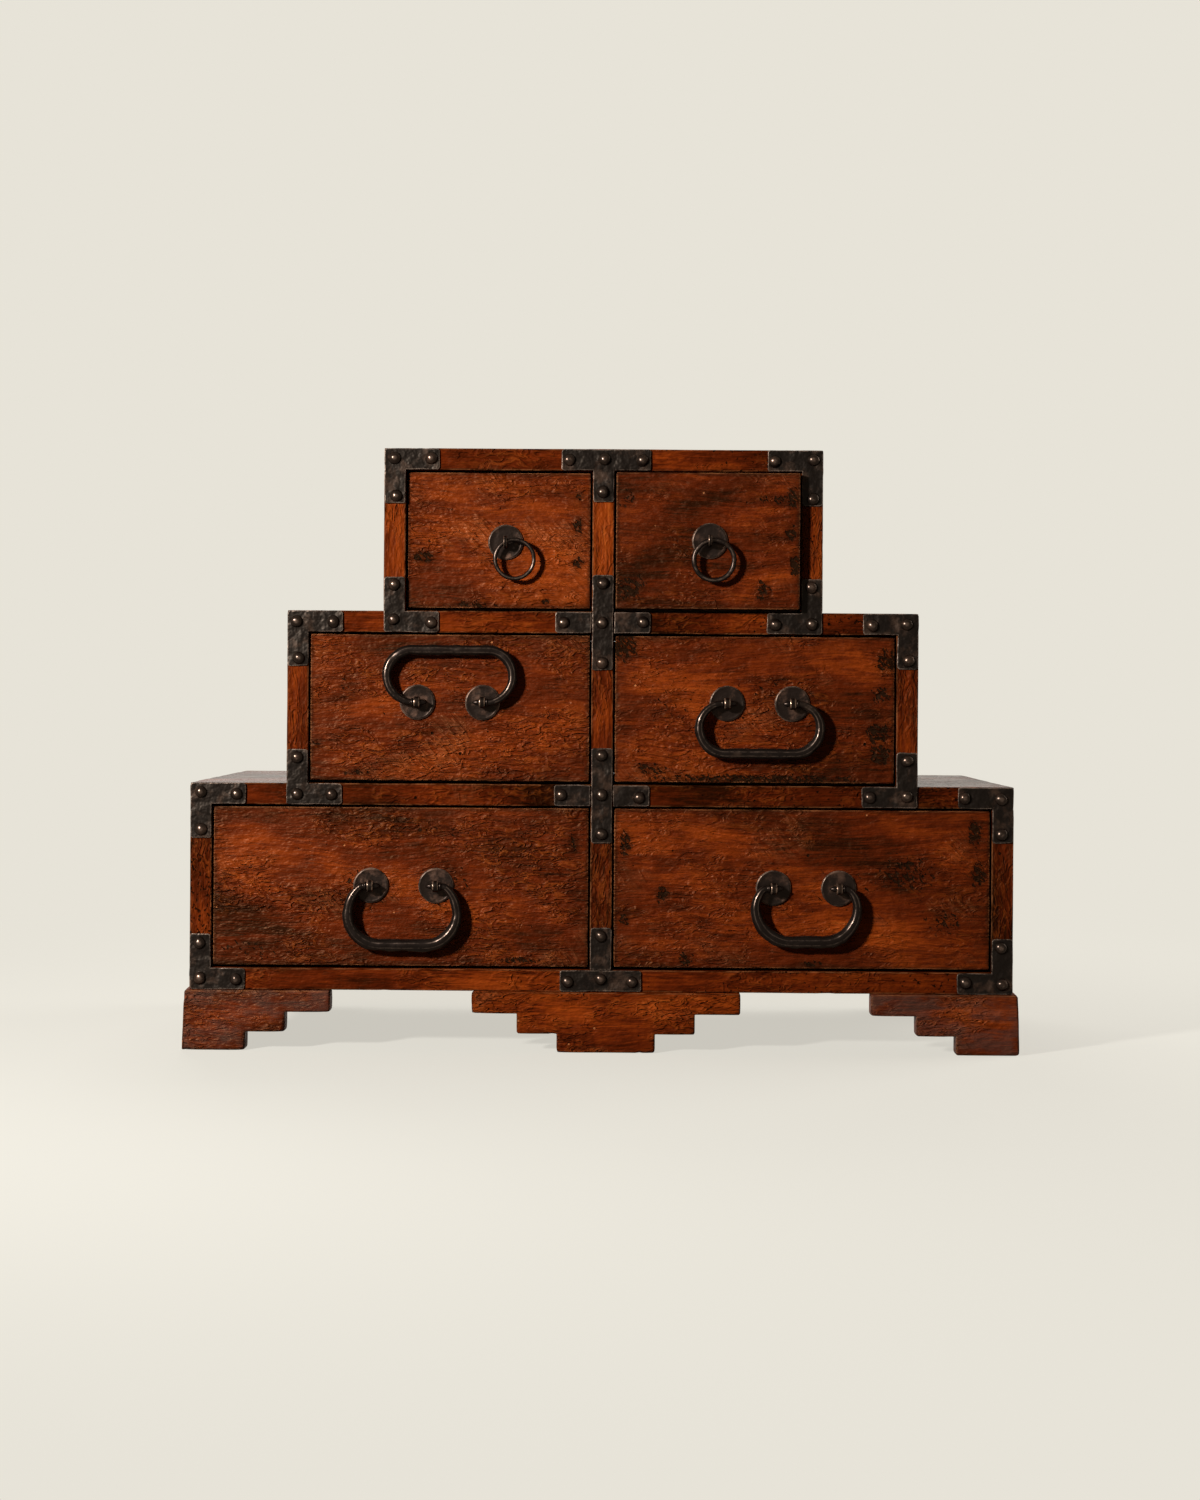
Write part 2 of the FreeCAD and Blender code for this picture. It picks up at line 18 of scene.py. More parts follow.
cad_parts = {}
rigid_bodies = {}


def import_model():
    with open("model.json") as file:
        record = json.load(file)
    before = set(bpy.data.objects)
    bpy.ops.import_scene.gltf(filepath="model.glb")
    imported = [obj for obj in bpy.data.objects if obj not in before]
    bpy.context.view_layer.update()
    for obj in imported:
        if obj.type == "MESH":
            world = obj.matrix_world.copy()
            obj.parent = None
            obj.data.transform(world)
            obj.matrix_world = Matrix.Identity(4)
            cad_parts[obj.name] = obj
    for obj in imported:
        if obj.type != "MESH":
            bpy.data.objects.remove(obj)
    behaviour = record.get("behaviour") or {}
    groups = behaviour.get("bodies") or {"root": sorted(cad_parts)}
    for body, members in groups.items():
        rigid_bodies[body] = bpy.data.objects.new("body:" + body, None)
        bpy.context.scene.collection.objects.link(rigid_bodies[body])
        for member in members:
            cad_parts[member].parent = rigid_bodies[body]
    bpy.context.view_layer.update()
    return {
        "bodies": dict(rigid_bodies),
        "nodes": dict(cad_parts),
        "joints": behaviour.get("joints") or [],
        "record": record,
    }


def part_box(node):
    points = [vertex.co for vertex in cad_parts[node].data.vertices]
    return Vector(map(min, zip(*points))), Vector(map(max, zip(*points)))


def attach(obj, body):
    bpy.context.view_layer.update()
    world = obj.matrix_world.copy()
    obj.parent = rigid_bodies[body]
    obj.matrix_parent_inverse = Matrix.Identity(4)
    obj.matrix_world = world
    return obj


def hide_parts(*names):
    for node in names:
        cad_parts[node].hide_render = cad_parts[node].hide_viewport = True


log = logging.getLogger("step_chest")

MILLIMETRES = 1000.0  # in a metre

Colour = tuple[float, float, float]
Points = np.ndarray


def paint(red: int, green: int, blue: int) -> Colour:
    """Turns a given colour into the linear values that a shader takes.

    Args:
        red: share of red, 0 to 255.
        green: share of green, 0 to 255.
        blue: share of blue, 0 to 255.

    Returns:
        The three linear shares, 0 to 1.
    """

    def linear(value: int) -> float:
        """The linear share of one channel."""
        share = value / 255
        return share / 12.92 if share <= 0.04045 else ((share + 0.055) / 1.055) ** 2.4

    return linear(red), linear(green), linear(blue)


def place_of(node: str) -> tuple[Points, Points]:
    """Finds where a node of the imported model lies.

    Args:
        node: name of the node.

    Returns:
        Its lowest and its highest corner, in millimetres.
    """
    low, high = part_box(node)
    return np.array(low) * MILLIMETRES, np.array(high) * MILLIMETRES


def two_sides(node: str, thickness: float) -> list[tuple[Points, Points]]:
    """Finds the two upright boards that make up a node.

    Args:
        node: name of the node.
        thickness: of each board.

    Returns:
        The lowest and the highest corner of the left board, then of the right one.
    """
    low, high = place_of(node)
    left_high, right_low = high.copy(), low.copy()
    left_high[0] = low[0] + thickness
    right_low[0] = high[0] - thickness
    return [(low, left_high), (right_low, high)]


# Shader maths


class Wire:
    """A socket of a node tree that takes part in Python sums."""

    def __init__(self, bench: "Bench", socket: bpy.types.NodeSocket) -> None:
        """Keeps the socket and the bench that its nodes are laid on."""
        self.bench = bench
        self.socket = socket

    def _sum(self, operation: str, first: Any, second: Any) -> "Wire":
        """Adds one Math node, or one Vector Math node where this wire is a vector.

        Args:
            operation: name of the sum.
            first: a wire, a number or a triple.
            second: a wire, a number or a triple.

        Returns:
            The wire that carries the result.
        """
        kind = "ShaderNodeVectorMath" if self.socket.type == "VECTOR" else "ShaderNodeMath"
        return self.bench.node(kind, {"operation": operation}, {0: first, 1: second})

    def __add__(self, other: Any) -> "Wire":
        """This plus other."""
        return self._sum("ADD", self, other)

    def __radd__(self, other: Any) -> "Wire":
        """Other plus this."""
        return self._sum("ADD", other, self)

    def __sub__(self, other: Any) -> "Wire":
        """This minus other."""
        return self._sum("SUBTRACT", self, other)

    def __rsub__(self, other: Any) -> "Wire":
        """Other minus this."""
        return self._sum("SUBTRACT", other, self)

    def __mul__(self, other: Any) -> "Wire":
        """This times other."""
        return self._sum("MULTIPLY", self, other)

    def __truediv__(self, other: Any) -> "Wire":
        """This divided by other."""
        return self._sum("DIVIDE", self, other)

    def __abs__(self) -> "Wire":
        """This without its sign."""
        return self._sum("ABSOLUTE", self, 0.0)

    def most(self, other: Any) -> "Wire":
        """The larger of this and other."""
        return self._sum("MAXIMUM", self, other)

    def beside(self, output: int | str) -> "Wire":
        """Another output of the node that this wire comes from."""
        return Wire(self.bench, self.socket.node.outputs[output])

    def rise(self, low: float, high: float) -> "Wire":
        """Goes smoothly from 0 to 1 while this goes from low to high.

        Args:
            low: where the rise starts.
            high: where it ends.

        Returns:
            The wire that carries the eased value.
        """
        ends = {0: self, 1: low, 2: high, 3: 0.0, 4: 1.0}
        return self.bench.node("ShaderNodeMapRange", {"interpolation_type": "SMOOTHSTEP"}, ends)

    def crest(self, sharpness: float) -> "Wire":
        """Thin lines where a noise crosses its middle.

        Args:
            sharpness: above 1; higher values leave thinner lines.

        Returns:
            The wire, 1 on the lines and 0 between them.
        """
        return (1.0 - abs(self - 0.5) * sharpness).most(0.0)


class Bench:
    """A node tree, and the ways in which its nodes are laid."""

    def __init__(self, tree: bpy.types.NodeTree) -> None:
        """Takes over a tree and clears it."""
        self.tree = tree
        tree.nodes.clear()

    @classmethod
    def for_material(cls, name: str) -> tuple["Bench", bpy.types.Material]:
        """Starts a material.

        Args:
            name: of the material.

        Returns:
            The bench of its node tree, and the material.
        """
        material = bpy.data.materials.new(name)
        material.use_nodes = True
        return cls(material.node_tree), material

    def node(
        self,
        kind: str,
        settings: dict[str, Any] | None = None,
        inputs: dict[int | str, Any] | None = None,
        output: int | str = 0,
    ) -> Wire:
        """Lays one node.

        Args:
            kind: Blender's name for the node's type.
            settings: properties of the node; "stops" are the colours of a ramp by place.
            inputs: a wire, or a constant, for each socket by name or number.
            output: which socket the result is taken from.

        Returns:
            The wire from that socket, or nothing where the node is an end of the tree.
        """
        made = self.tree.nodes.new(kind)
        for key, value in (settings or {}).items():
            if key == "stops":
                self._set_stops(made.color_ramp, value)
            else:
                setattr(made, key, value)
        for key, value in (inputs or {}).items():
            socket = made.inputs[key]
            if isinstance(value, Wire):
                self.tree.links.new(value.socket, socket)
            elif socket.type == "RGBA":
                socket.default_value = (*value, 1.0)
            elif socket.type == "VECTOR" and isinstance(value, float):
                socket.default_value = (value, value, value)
            else:
                socket.default_value = value
        return Wire(self, made.outputs[output]) if len(made.outputs) else None

    @staticmethod
    def _set_stops(ramp: bpy.types.ColorRamp, stops: list[tuple[float, Colour]]) -> None:
        """Gives a ramp its colours.

        Args:
            ramp: the ramp of a new node, which has two stops.
            stops: the place and colour of each stop, in order.
        """
        while len(ramp.elements) < len(stops):
            ramp.elements.new(1.0)
        for element, (place, colour) in zip(ramp.elements, stops):
            element.position = place
            element.color = (*colour, 1.0)

    def noise(self, place: Wire, detail: float = 2.0, roughness: float = 0.5, twist: float = 0.0) -> Wire:
        """Lays a noise whose features are about one unit of place apart.

        Args:
            place: where the noise is read.
            detail: how many finer layers it has.
            roughness: how strong the finer layers are.
            twist: how far its features are distorted.

        Returns:
            The noise, from 0 to 1 with its middle at a half.
        """
        inputs = {
            "Vector": place,
            "Scale": 1.0,
            "Detail": detail,
            "Roughness": roughness,
            "Distortion": twist,
        }
        return self.node("ShaderNodeTexNoise", None, inputs)

    def mix(self, share: Wire, under: Any, over: Any, way: str = "MIX") -> Wire:
        """Lays one colour over another.

        Args:
            share: how much of the upper colour shows.
            under: the lower colour, a wire or a triple.
            over: the upper colour, a wire or a triple.
            way: how the two are blended.

        Returns:
            The blended colour.
        """
        settings = {"data_type": "RGBA", "blend_type": way}
        return self.node("ShaderNodeMix", settings, {0: share, 6: under, 7: over}, 2)

    def spot(self) -> Wire:
        """The place of a point on its piece, in millimetres."""
        return self.node("ShaderNodeTexCoord", None, None, "Object") * MILLIMETRES

    def timber(self, grain: "Grain", cut: tuple[float, float, float]) -> Wire:
        """The place of a point in its log, in millimetres along, across and through the fibres.

        Args:
            grain: which way the fibres of the board run.
            cut: where in the log the board was cut from.

        Returns:
            The place.
        """
        axes = self.node("ShaderNodeSeparateXYZ", None, {0: self.spot()})
        order = [axes.beside(axis) for axis in grain.value]
        return self.node("ShaderNodeCombineXYZ", None, dict(enumerate(order))) + cut

    def swayed(self, timber: Wire, length: float, detail: float, lift: float) -> Wire:
        """Lets the fibres of a log wander up and down.

        Args:
            timber: a place in the log.
            length: of one wave along the log.
            detail: how many finer layers the waves have.
            lift: how far the fibres go from their lowest to their highest.

        Returns:
            The place along the wandering fibres.
        """
        sway = self.noise(timber / (length, 60.0, 60.0), detail)
        return timber + self.node("ShaderNodeCombineXYZ", None, {1: (sway - 0.5) * lift})

    def turned(self, place: Wire, angle: float) -> Wire:
        """A place turned in the face of a board, by an angle in radians."""
        inputs = {"Vector": place, "Angle": angle}
        return self.node("ShaderNodeVectorRotate", {"rotation_type": "Z_AXIS"}, inputs)

    def worn(self, name: str) -> Wire:
        """A value that the mesh keeps for each of its points."""
        return self.node("ShaderNodeAttribute", {"attribute_name": name}, None, "Fac")

    def relief(self, height: Wire) -> Wire:
        """The normal of a surface whose height is given in millimetres."""
        inputs = {"Height": height, "Distance": 1 / MILLIMETRES, "Strength": 1.0}
        return self.node("ShaderNodeBump", None, inputs, "Normal")

    def finish(self, shader: Wire) -> None:
        """Joins a shader to the output of a material."""
        self.node("ShaderNodeOutputMaterial", None, {"Surface": shader})

    def surface(self, inputs: dict[str, Any]) -> None:
        """Lays the shader of a solid surface and joins it to the output of its material."""
        self.finish(self.node("ShaderNodeBsdfPrincipled", None, inputs))


# Finishes


class Grain(Enum):
    """Which way the fibres of a board run, as the order of its along, across and through axes."""

    ALONG_X = (0, 2, 1)  # upright, its face to the front
    ALONG_Y = (1, 2, 0)  # upright, its face to the side
    ALONG_Z = (2, 1, 0)  # upright on its end, its face to the side
    LAID = (0, 1, 2)  # flat


@dataclass(frozen=True)
class StainedWood:
    """Reddish stain under worn wax, darkened by handling.

    Attributes:
        name: of the material.
        grain: which way the fibres run.
        seed: which part of the log the board was cut from.
        glow: moves the tone towards orange above 0 and towards umber below it.
        grime: how far dirt reaches in from the edges.
        scuffs_and_highlights: how strongly scratches, the ridges and the painted highlights on them show.
        figure: how strongly the broad bands of the grain show.
        dust: how much dust lies on it, 0 to 1.
        gloss: strength of the wax's shine.
        polish: how far faces that look up have been rubbed smooth, 0 to 1.
        umber, russet, amber, honey: the tones of the grain, from dark to light; umber also paints shade in
            the creases, and honey paints highlights on the ridges.
        soot_and_shade: the colour of dirt, gouges, worm holes and painted shade.
        bare: the colour where the stain has worn off.
        ash: the colour of dust.
        shine: the tint of the wax's shine.
    """

    name: str
    grain: Grain
    seed: int
    glow: float = 0.0
    grime: float = 8.0
    scuffs_and_highlights: float = 1.0
    figure: float = 1.0
    dust: float = 0.0
    gloss: float = 0.06
    polish: float = 0.0
    umber: Colour = paint(34, 9, 1)
    russet: Colour = paint(92, 30, 6)
    amber: Colour = paint(141, 56, 12)
    honey: Colour = paint(182, 90, 31)
    soot_and_shade: Colour = paint(12, 4, 1)
    bare: Colour = paint(206, 130, 78)
    ash: Colour = paint(112, 94, 83)
    shine: Colour = (1.0, 0.50, 0.24)

    TONE = 0.455  # of a plain board, on the ramp from umber to honey
    SLANT = 0.42  # of the broad figure, in radians
    TILT = 0.75  # of scratches and gouges, in radians
    HOLE_SPACING = 19.0  # between one worm hole or nick and the next

    def material(self) -> bpy.types.Material:
        """Builds the material.

        Returns:
            The finished material.
        """
        bench, material = Bench.for_material(self.name)
        timber = bench.timber(self.grain, (613.0 * self.seed, 171.0 * self.seed, 97.0 * self.seed))
        swayed = bench.swayed(timber, 150.0, 2.0, 30.0)

        # The stain and the grain under it
        bands = bench.noise(swayed / (220.0, 8.0, 9.0), 5.0, 0.68, 0.2)
        slanted = bench.turned(timber, self.SLANT if self.seed % 2 else -self.SLANT)
        broad = bench.noise(slanted / (140.0, 50.0, 50.0), 2.0)
        fibres = bench.noise(swayed / (24.0, 1.2, 1.4), 3.0, 0.7)
        blotches = bench.noise(timber / (30.0, 13.0, 13.0), 4.0, 0.7)
        pores = bench.noise(swayed / (15.0, 1.1, 1.3), 1.0).rise(0.63, 0.70)
        streaks = bench.noise(swayed / (70.0, 2.6, 3.2), 2.0, 0.6).crest(7.0) * blotches.rise(0.42, 0.62)
        tone = self.TONE + self.glow + (bands - 0.5) * (0.46 * self.figure) + (broad - 0.5) * 0.95
        tone = tone + (fibres - 0.5) * 0.50 - streaks * 0.16
        stops = [(0.16, self.umber), (0.44, self.russet), (0.68, self.amber), (0.95, self.honey)]
        colour = bench.node("ShaderNodeValToRGB", {"stops": stops}, {0: tone})
        colour = bench.mix(blotches.rise(0.54, 0.78) * 0.38, colour, self.umber)
        colour = bench.mix(pores * 0.4, colour, self.umber)

        # Ridges and scratches from handling, with painted highlights on the ridges and painted shade in the
        # creases beside them
        curl = bench.noise(timber / (15.0, 5.5, 6.5), 2.0, 0.55, 1.2)
        handled = bench.noise(timber / (55.0, 38.0, 38.0) + 5.0, 2.0).rise(0.40, 0.60)
        ridges = curl.crest(5.5) * handled
        creases = (curl - 0.10).crest(8.0) * handled
        ridge_highlights = curl.crest(16.0) * handled * blotches.rise(0.60, 0.44) * self.scuffs_and_highlights
        tilted = bench.turned(timber, self.TILT)
        patches = bench.noise(timber / (60.0, 40.0, 40.0) + 9.0, 2.0).rise(0.58, 0.68)
        scratches = bench.noise(tilted / (20.0, 4.0, 5.0), 1.0, 0.5, 0.5).crest(7.0) * patches * self.scuffs_and_highlights
        # Painted shade in the creases beside the ridges, and painted highlights on their crests.
        colour = bench.mix(creases * 0.16, colour, self.umber)
        colour = bench.mix(ridge_highlights * 0.22, colour, self.honey)
        colour = bench.mix(scratches * 0.07, colour, self.bare)

        # Worm holes and nicks, in some of the cells of a loose pattern
        spread = {"Vector": timber / self.HOLE_SPACING, "Scale": 1.0}
        cells = bench.node("ShaderNodeTexVoronoi", None, spread)
        chosen = bench.node("ShaderNodeSeparateColor", None, {0: cells.beside("Color")})
        holes = (1.0 - cells.rise(0.035, 0.065)) * chosen.rise(0.76, 0.77)
        nicks = (1.0 - cells.rise(0.025, 0.06)) * chosen.rise(0.30, 0.28)

        # Dirt from the edges, and stains, gouges and painted shade where the mesh is marked
        edge = bench.worn("edge")
        mark = bench.worn("mark")
        ragged = edge + (blotches - 0.5) * (2.4 * self.grime)
        faint = (1.0 - ragged.rise(0.0, 5.0 * self.grime)) * 0.2
        grime = ((1.0 - ragged.rise(0.0, self.grime)) * 0.72).most(faint)
        rim = (1.0 - edge.rise(0.4, 1.4)) * fibres.rise(0.42, 0.58)
        scribble = bench.noise(timber / (9.0, 6.0, 6.0), 2.0, 0.6, 0.8)
        shards = {"Vector": tilted / (7.0, 3.0, 3.0) + scribble * 0.8, "Scale": 1.0}
        splits = bench.node("ShaderNodeTexVoronoi", {"feature": "DISTANCE_TO_EDGE"}, shards, "Distance")
        broken = bench.noise(tilted / (5.0, 2.6, 2.6) + 3.0, 2.0, 0.6)
        bruised = (mark + (broken - 0.5) * 2.4).rise(0.57, 0.71)
        gouge = (1.0 - splits.rise(0.125, 0.26)) * bruised
        torn = scribble.rise(0.44, 0.34) * bruised
        colour = bench.mix(grime, colour, self.soot_and_shade)
        # Darker where the mesh is marked: stains on the drawer fronts, and painted shade on some case
        # boards.
        colour = bench.mix(mark.rise(0.0, 0.8) * 0.45, colour, self.soot_and_shade)
        colour = bench.mix(rim * 0.22, colour, self.bare)
        colour = bench.mix(torn * 0.10, colour, self.honey)
        colour = bench.mix(gouge * 0.95, colour, self.soot_and_shade)
        colour = bench.mix(holes, colour, self.soot_and_shade)
        colour = bench.mix(nicks * 0.6, colour, self.bare)
        colour = bench.mix(blotches.rise(0.35, 0.62) * self.dust, colour, self.ash)

        # Relief and shine, both less where things have stood on a face that looks up
        rubbed = bench.noise(timber / (8.0, 4.2, 4.2), 2.0, 0.55)
        height = rubbed * 1.6 + fibres * 0.06 - pores * 0.08
        height = height + (ridges - creases * 0.6) * (0.90 * self.scuffs_and_highlights) + scratches * 0.55
        height = height - gouge * 0.9 + torn * 0.4 - holes * 1.2 - nicks * 0.4
        facing = bench.node("ShaderNodeNewGeometry", None, None, "True Normal")
        upward = bench.node("ShaderNodeSeparateXYZ", None, {0: facing}, "Z")
        level = upward.rise(0.8, 0.97)
        height = height * (1.0 - level * (0.45 + 0.3 * self.polish))
        dull = 0.42 + (fibres - 0.5) * 0.25 + (blotches - 0.5) * 0.30 + grime * 0.18 + gouge * 0.25
        dull = dull + level * (0.22 - 0.42 * self.polish)
        bench.surface(
            {
                "Base Color": colour,
                "Roughness": dull,
                "Normal": bench.relief(height),
                "Specular IOR Level": self.gloss,
                "Specular Tint": self.shine,
            }
        )
        return material


@dataclass(frozen=True)
class BareWood:
    """Unstained softer wood of the drawer boxes, back panels and blocks, browned by age.

    Attributes:
        name: of the material.
        grain: which way the fibres run.
        seed: which part of the log the boards were cut from.
        shade, straw: the tones of the grain.
        dust: the colour of dirt in corners.
        gloss: strength of its shine.
    """

    name: str
    grain: Grain
    seed: int
    shade: Colour = paint(80, 47, 26)
    straw: Colour = paint(152, 103, 62)
    dust: Colour = paint(38, 23, 14)
    gloss: float = 0.15

    def material(self) -> bpy.types.Material:
        """Builds the material.

        Returns:
            The finished material.
        """
        bench, material = Bench.for_material(self.name)
        timber = bench.timber(self.grain, (431.0 * self.seed, 83.0 * self.seed, 59.0 * self.seed))
        swayed = bench.swayed(timber, 200.0, 1.0, 40.0)
        bands = bench.noise(swayed / (400.0, 7.0, 8.0), 4.0, 0.6)
        rings = bench.noise(swayed / (480.0, 4.5, 5.0), 2.0, 0.5).crest(5.0)
        fibres = bench.noise(swayed / (22.0, 0.9, 1.1), 4.0, 0.75)
        stains = bench.noise(timber / (70.0, 45.0, 45.0), 5.0, 0.65)
        specks = bench.noise(swayed / (7.0, 1.0, 1.2), 2.0, 0.6).rise(0.60, 0.68)
        cracks = bench.noise(swayed / (140.0, 6.0, 8.0) + 3.0, 1.0).crest(40.0) * stains.rise(0.48, 0.56)
        saw = bench.noise(timber / (2.2, 30.0, 30.0), 2.0)
        tone = 0.5 + (bands - 0.5) * 1.0 + (fibres - 0.5) * 1.1 - rings * 0.22 + (saw - 0.5) * 0.25
        colour = bench.mix(tone.rise(0.12, 0.88), self.shade, self.straw)
        colour = bench.mix(specks * 0.45, colour, self.shade)
        grime = (1.0 - (bench.worn("edge") + (stains - 0.5) * 26.0).rise(0.0, 9.0)) * 0.75
        colour = bench.mix(grime.most(stains.rise(0.52, 0.80) * 0.7), colour, self.dust)
        colour = bench.mix(cracks * 0.8, colour, self.dust)
        height = bands * 0.25 + fibres * 0.16 + saw * 0.22 - specks * 0.1 - cracks * 0.6
        bench.surface(
            {
                "Base Color": colour,
                "Roughness": 0.62 + (fibres - 0.5) * 0.3,
                "Normal": bench.relief(height),
                "Specular IOR Level": self.gloss,
            }
        )
        return material


@dataclass(frozen=True)
class ForgedIron:
    """Iron blackened by fire and oil, brown where it has rusted, lighter where hands have rubbed it, which
    also serves as a painted highlight.

    Attributes:
        name: of the material.
        black: the colour of the scale.
        brown: the colour of old rust.
        bright_and_highlight: the colour of rubbed edges, which is also a painted highlight there.
        rust: how much of the surface has turned brown, 0 to 1.
        rub: how far the rubbing, and the painted highlight with it, reaches in from an edge.
        dull: usual roughness.
        uneven: how far the roughness varies.
        hammer: depth of the hammer marks.
        pitting: depth of the rust pits.
        metal: share of bare metal in the surface.
        gloss: strength of the oil's shine.
        shine: the tint of that shine.
    """

    name: str
    black: Colour = paint(18, 13, 10)
    brown: Colour = paint(51, 36, 27)
    bright_and_highlight: Colour = paint(136, 114, 98)
    rust: float = 0.55
    rub: float = 1.0
    dull: float = 0.40
    uneven: float = 0.24
    hammer: float = 1.5
    pitting: float = 0.04
    metal: float = 0.1
    gloss: float = 0.07
    shine: Colour = (1.0, 0.78, 0.6)

    def material(self) -> bpy.types.Material:
        """Builds the material.

        Returns:
            The finished material.
        """
        bench, material = Bench.for_material(self.name)
        spot = bench.spot()
        dents = bench.noise(spot / 7.0, 2.0, 0.5)
        pits = bench.noise(spot / 1.5, 4.0, 0.7)
        rusted = bench.noise(spot / 13.0, 5.0, 0.66)
        edge = bench.worn("edge")
        patches = rusted.rise(0.66 - 0.3 * self.rust, 0.84 - 0.3 * self.rust)
        colour = bench.mix(patches, self.black, self.brown)
        colour = bench.mix(pits.rise(0.58, 0.75) * 0.5, colour, self.black)
        # Lighter rubbed edges: partly wear, partly a painted highlight along the edges.
        rubbed = (1.0 - edge.rise(0.15, self.rub)) * (pits * 0.6 + dents * 0.6).rise(0.45, 0.72)
        colour = bench.mix(rubbed * 0.6, colour, self.bright_and_highlight)
        dull = self.dull + ((pits - 0.5) + (patches - rubbed) * 0.5) * self.uneven
        bench.surface(
            {
                "Base Color": colour,
                "Metallic": self.metal,
                "Roughness": dull,
                "Normal": bench.relief(dents * self.hammer + pits * self.pitting),
                "Specular IOR Level": self.gloss,
                "Specular Tint": self.shine,
            }
        )
        return material


# Meshes


class Unevenness:
    """Smooth seeded noise that gives handmade surfaces their small errors."""

    TABLE = 8192  # values that it runs between
    PRIMES = (73856093, 19349663, 83492791)  # spread the lattice over those values
    SHIFT = 31.7  # lattice cells between one layer and the next

    def __init__(self, seed: int) -> None:
        """Draws the values that the noise runs between."""
        self.values = np.random.default_rng(seed).uniform(-1.0, 1.0, self.TABLE)

    def at(self, points: Points, size: float | tuple[float, float, float], layers: int = 1) -> np.ndarray:
        """Reads the noise.

        Args:
            points: where it is read, one row for each point.
            size: about how far apart its features are, along each axis if a triple.
            layers: how many layers it has, each half the size of the one before.

        Returns:
            One value for each point, mostly between -1 and 1.
        """
        total = np.zeros(len(points))
        for layer in range(layers):
            total += self._layer(points / np.asarray(size) * 2**layer + self.SHIFT * layer) / 2**layer
        return total

    def _layer(self, spots: Points) -> np.ndarray:
        """Eases between the values at the eight lattice corners around each spot.

        Args:
            spots: places in lattice cells.

        Returns:
            One value for each spot.
        """
        cell = np.floor(spots).astype(np.int64)
        part = spots - cell
        eased = part * part * (3 - 2 * part)
        total = np.zeros(len(spots))
        for corner in itertools.product((0, 1), repeat=3):
            keys = (cell + corner) * self.PRIMES
            key = (keys[:, 0] ^ keys[:, 1] ^ keys[:, 2]) % self.TABLE
            total += np.prod(np.where(corner, eased, 1 - eased), axis=1) * self.values[key]
        return total


@dataclass
class Shell:
    """The skin of a piece, and what each of its points has been through.

    Attributes:
        points: one row for each point, in millimetres.
        faces: the point numbers of each face.
        edge: distance of each point from the nearest worn edge.
        mark: how deeply each point is stained or gouged, 0 to 1; on some case boards it also carries
            painted shade.
    """

    points: Points
    faces: list[tuple[int, ...]]
    edge: np.ndarray
    mark: np.ndarray

    @staticmethod
    def join(shells: list["Shell"]) -> "Shell":
        """Makes one skin of several that stay separate.

        Args:
            shells: the skins.

        Returns:
            A skin with all their points and faces.
        """
        starts = np.cumsum([0] + [len(shell.points) for shell in shells])
        faces = []
        for shell, start in zip(shells, starts):
            faces += [tuple(int(i + start) for i in face) for face in shell.faces]
        return Shell(
            np.concatenate([shell.points for shell in shells]),
            faces,
            np.concatenate([shell.edge for shell in shells]),
            np.concatenate([shell.mark for shell in shells]),
        )

    def moved(self, matrix: Matrix) -> "Shell":
        """The same skin after a turn and a shift.

        Args:
            matrix: the turn and shift, in millimetres.

        Returns:
            The moved skin.
        """
        place = np.array(matrix)
        mirrored = np.linalg.det(place[:3, :3]) < 0
        faces = [face[::-1] for face in self.faces] if mirrored else self.faces
        return Shell(self.points @ place[:3, :3].T + place[:3, 3], faces, self.edge, self.mark)


@dataclass(frozen=True)
class Role:
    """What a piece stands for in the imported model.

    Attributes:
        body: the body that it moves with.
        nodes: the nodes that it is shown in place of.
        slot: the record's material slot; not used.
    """

    body: str
    nodes: tuple[str, ...]
    slot: str


def show(name: str, shell: Shell, role: Role, material: bpy.types.Material) -> bpy.types.Object:
    """Turns a skin into a piece of the scene.

    Args:
        name: of the piece.
        shell: its skin.
        role: what it stands for.
        material: its finish.

    Returns:
        The new object, riding on its body.
    """
    mesh = bpy.data.meshes.new(name)
    mesh.from_pydata((shell.points / MILLIMETRES).tolist(), [], shell.faces)
    for key, values in (("edge", shell.edge), ("mark", shell.mark)):
        mesh.attributes.new(key, "FLOAT", "POINT").data.foreach_set("value", values.astype(np.float32))
    mesh.shade_smooth()
    mesh.materials.append(material)
    piece = bpy.data.objects.new(name, mesh)
    bpy.context.scene.collection.objects.link(piece)
    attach(piece, role.body)
    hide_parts(*role.nodes)
    log.info("%s: %d faces, rides on %s", name, len(shell.faces), role.body)
    return piece


@dataclass(frozen=True)
class Mark:
    """A gouge, burn or stain on the face of a drawer front.

    Attributes:
        across: share of the front's width, from its left end.
        up: share of its height, from its lower edge.
        width: of the mark.
        height: of the mark.
        depth: how strongly it shows, 0 to 1.
    """

    across: float
    up: float
    width: float
    height: float
    depth: float = 1.0


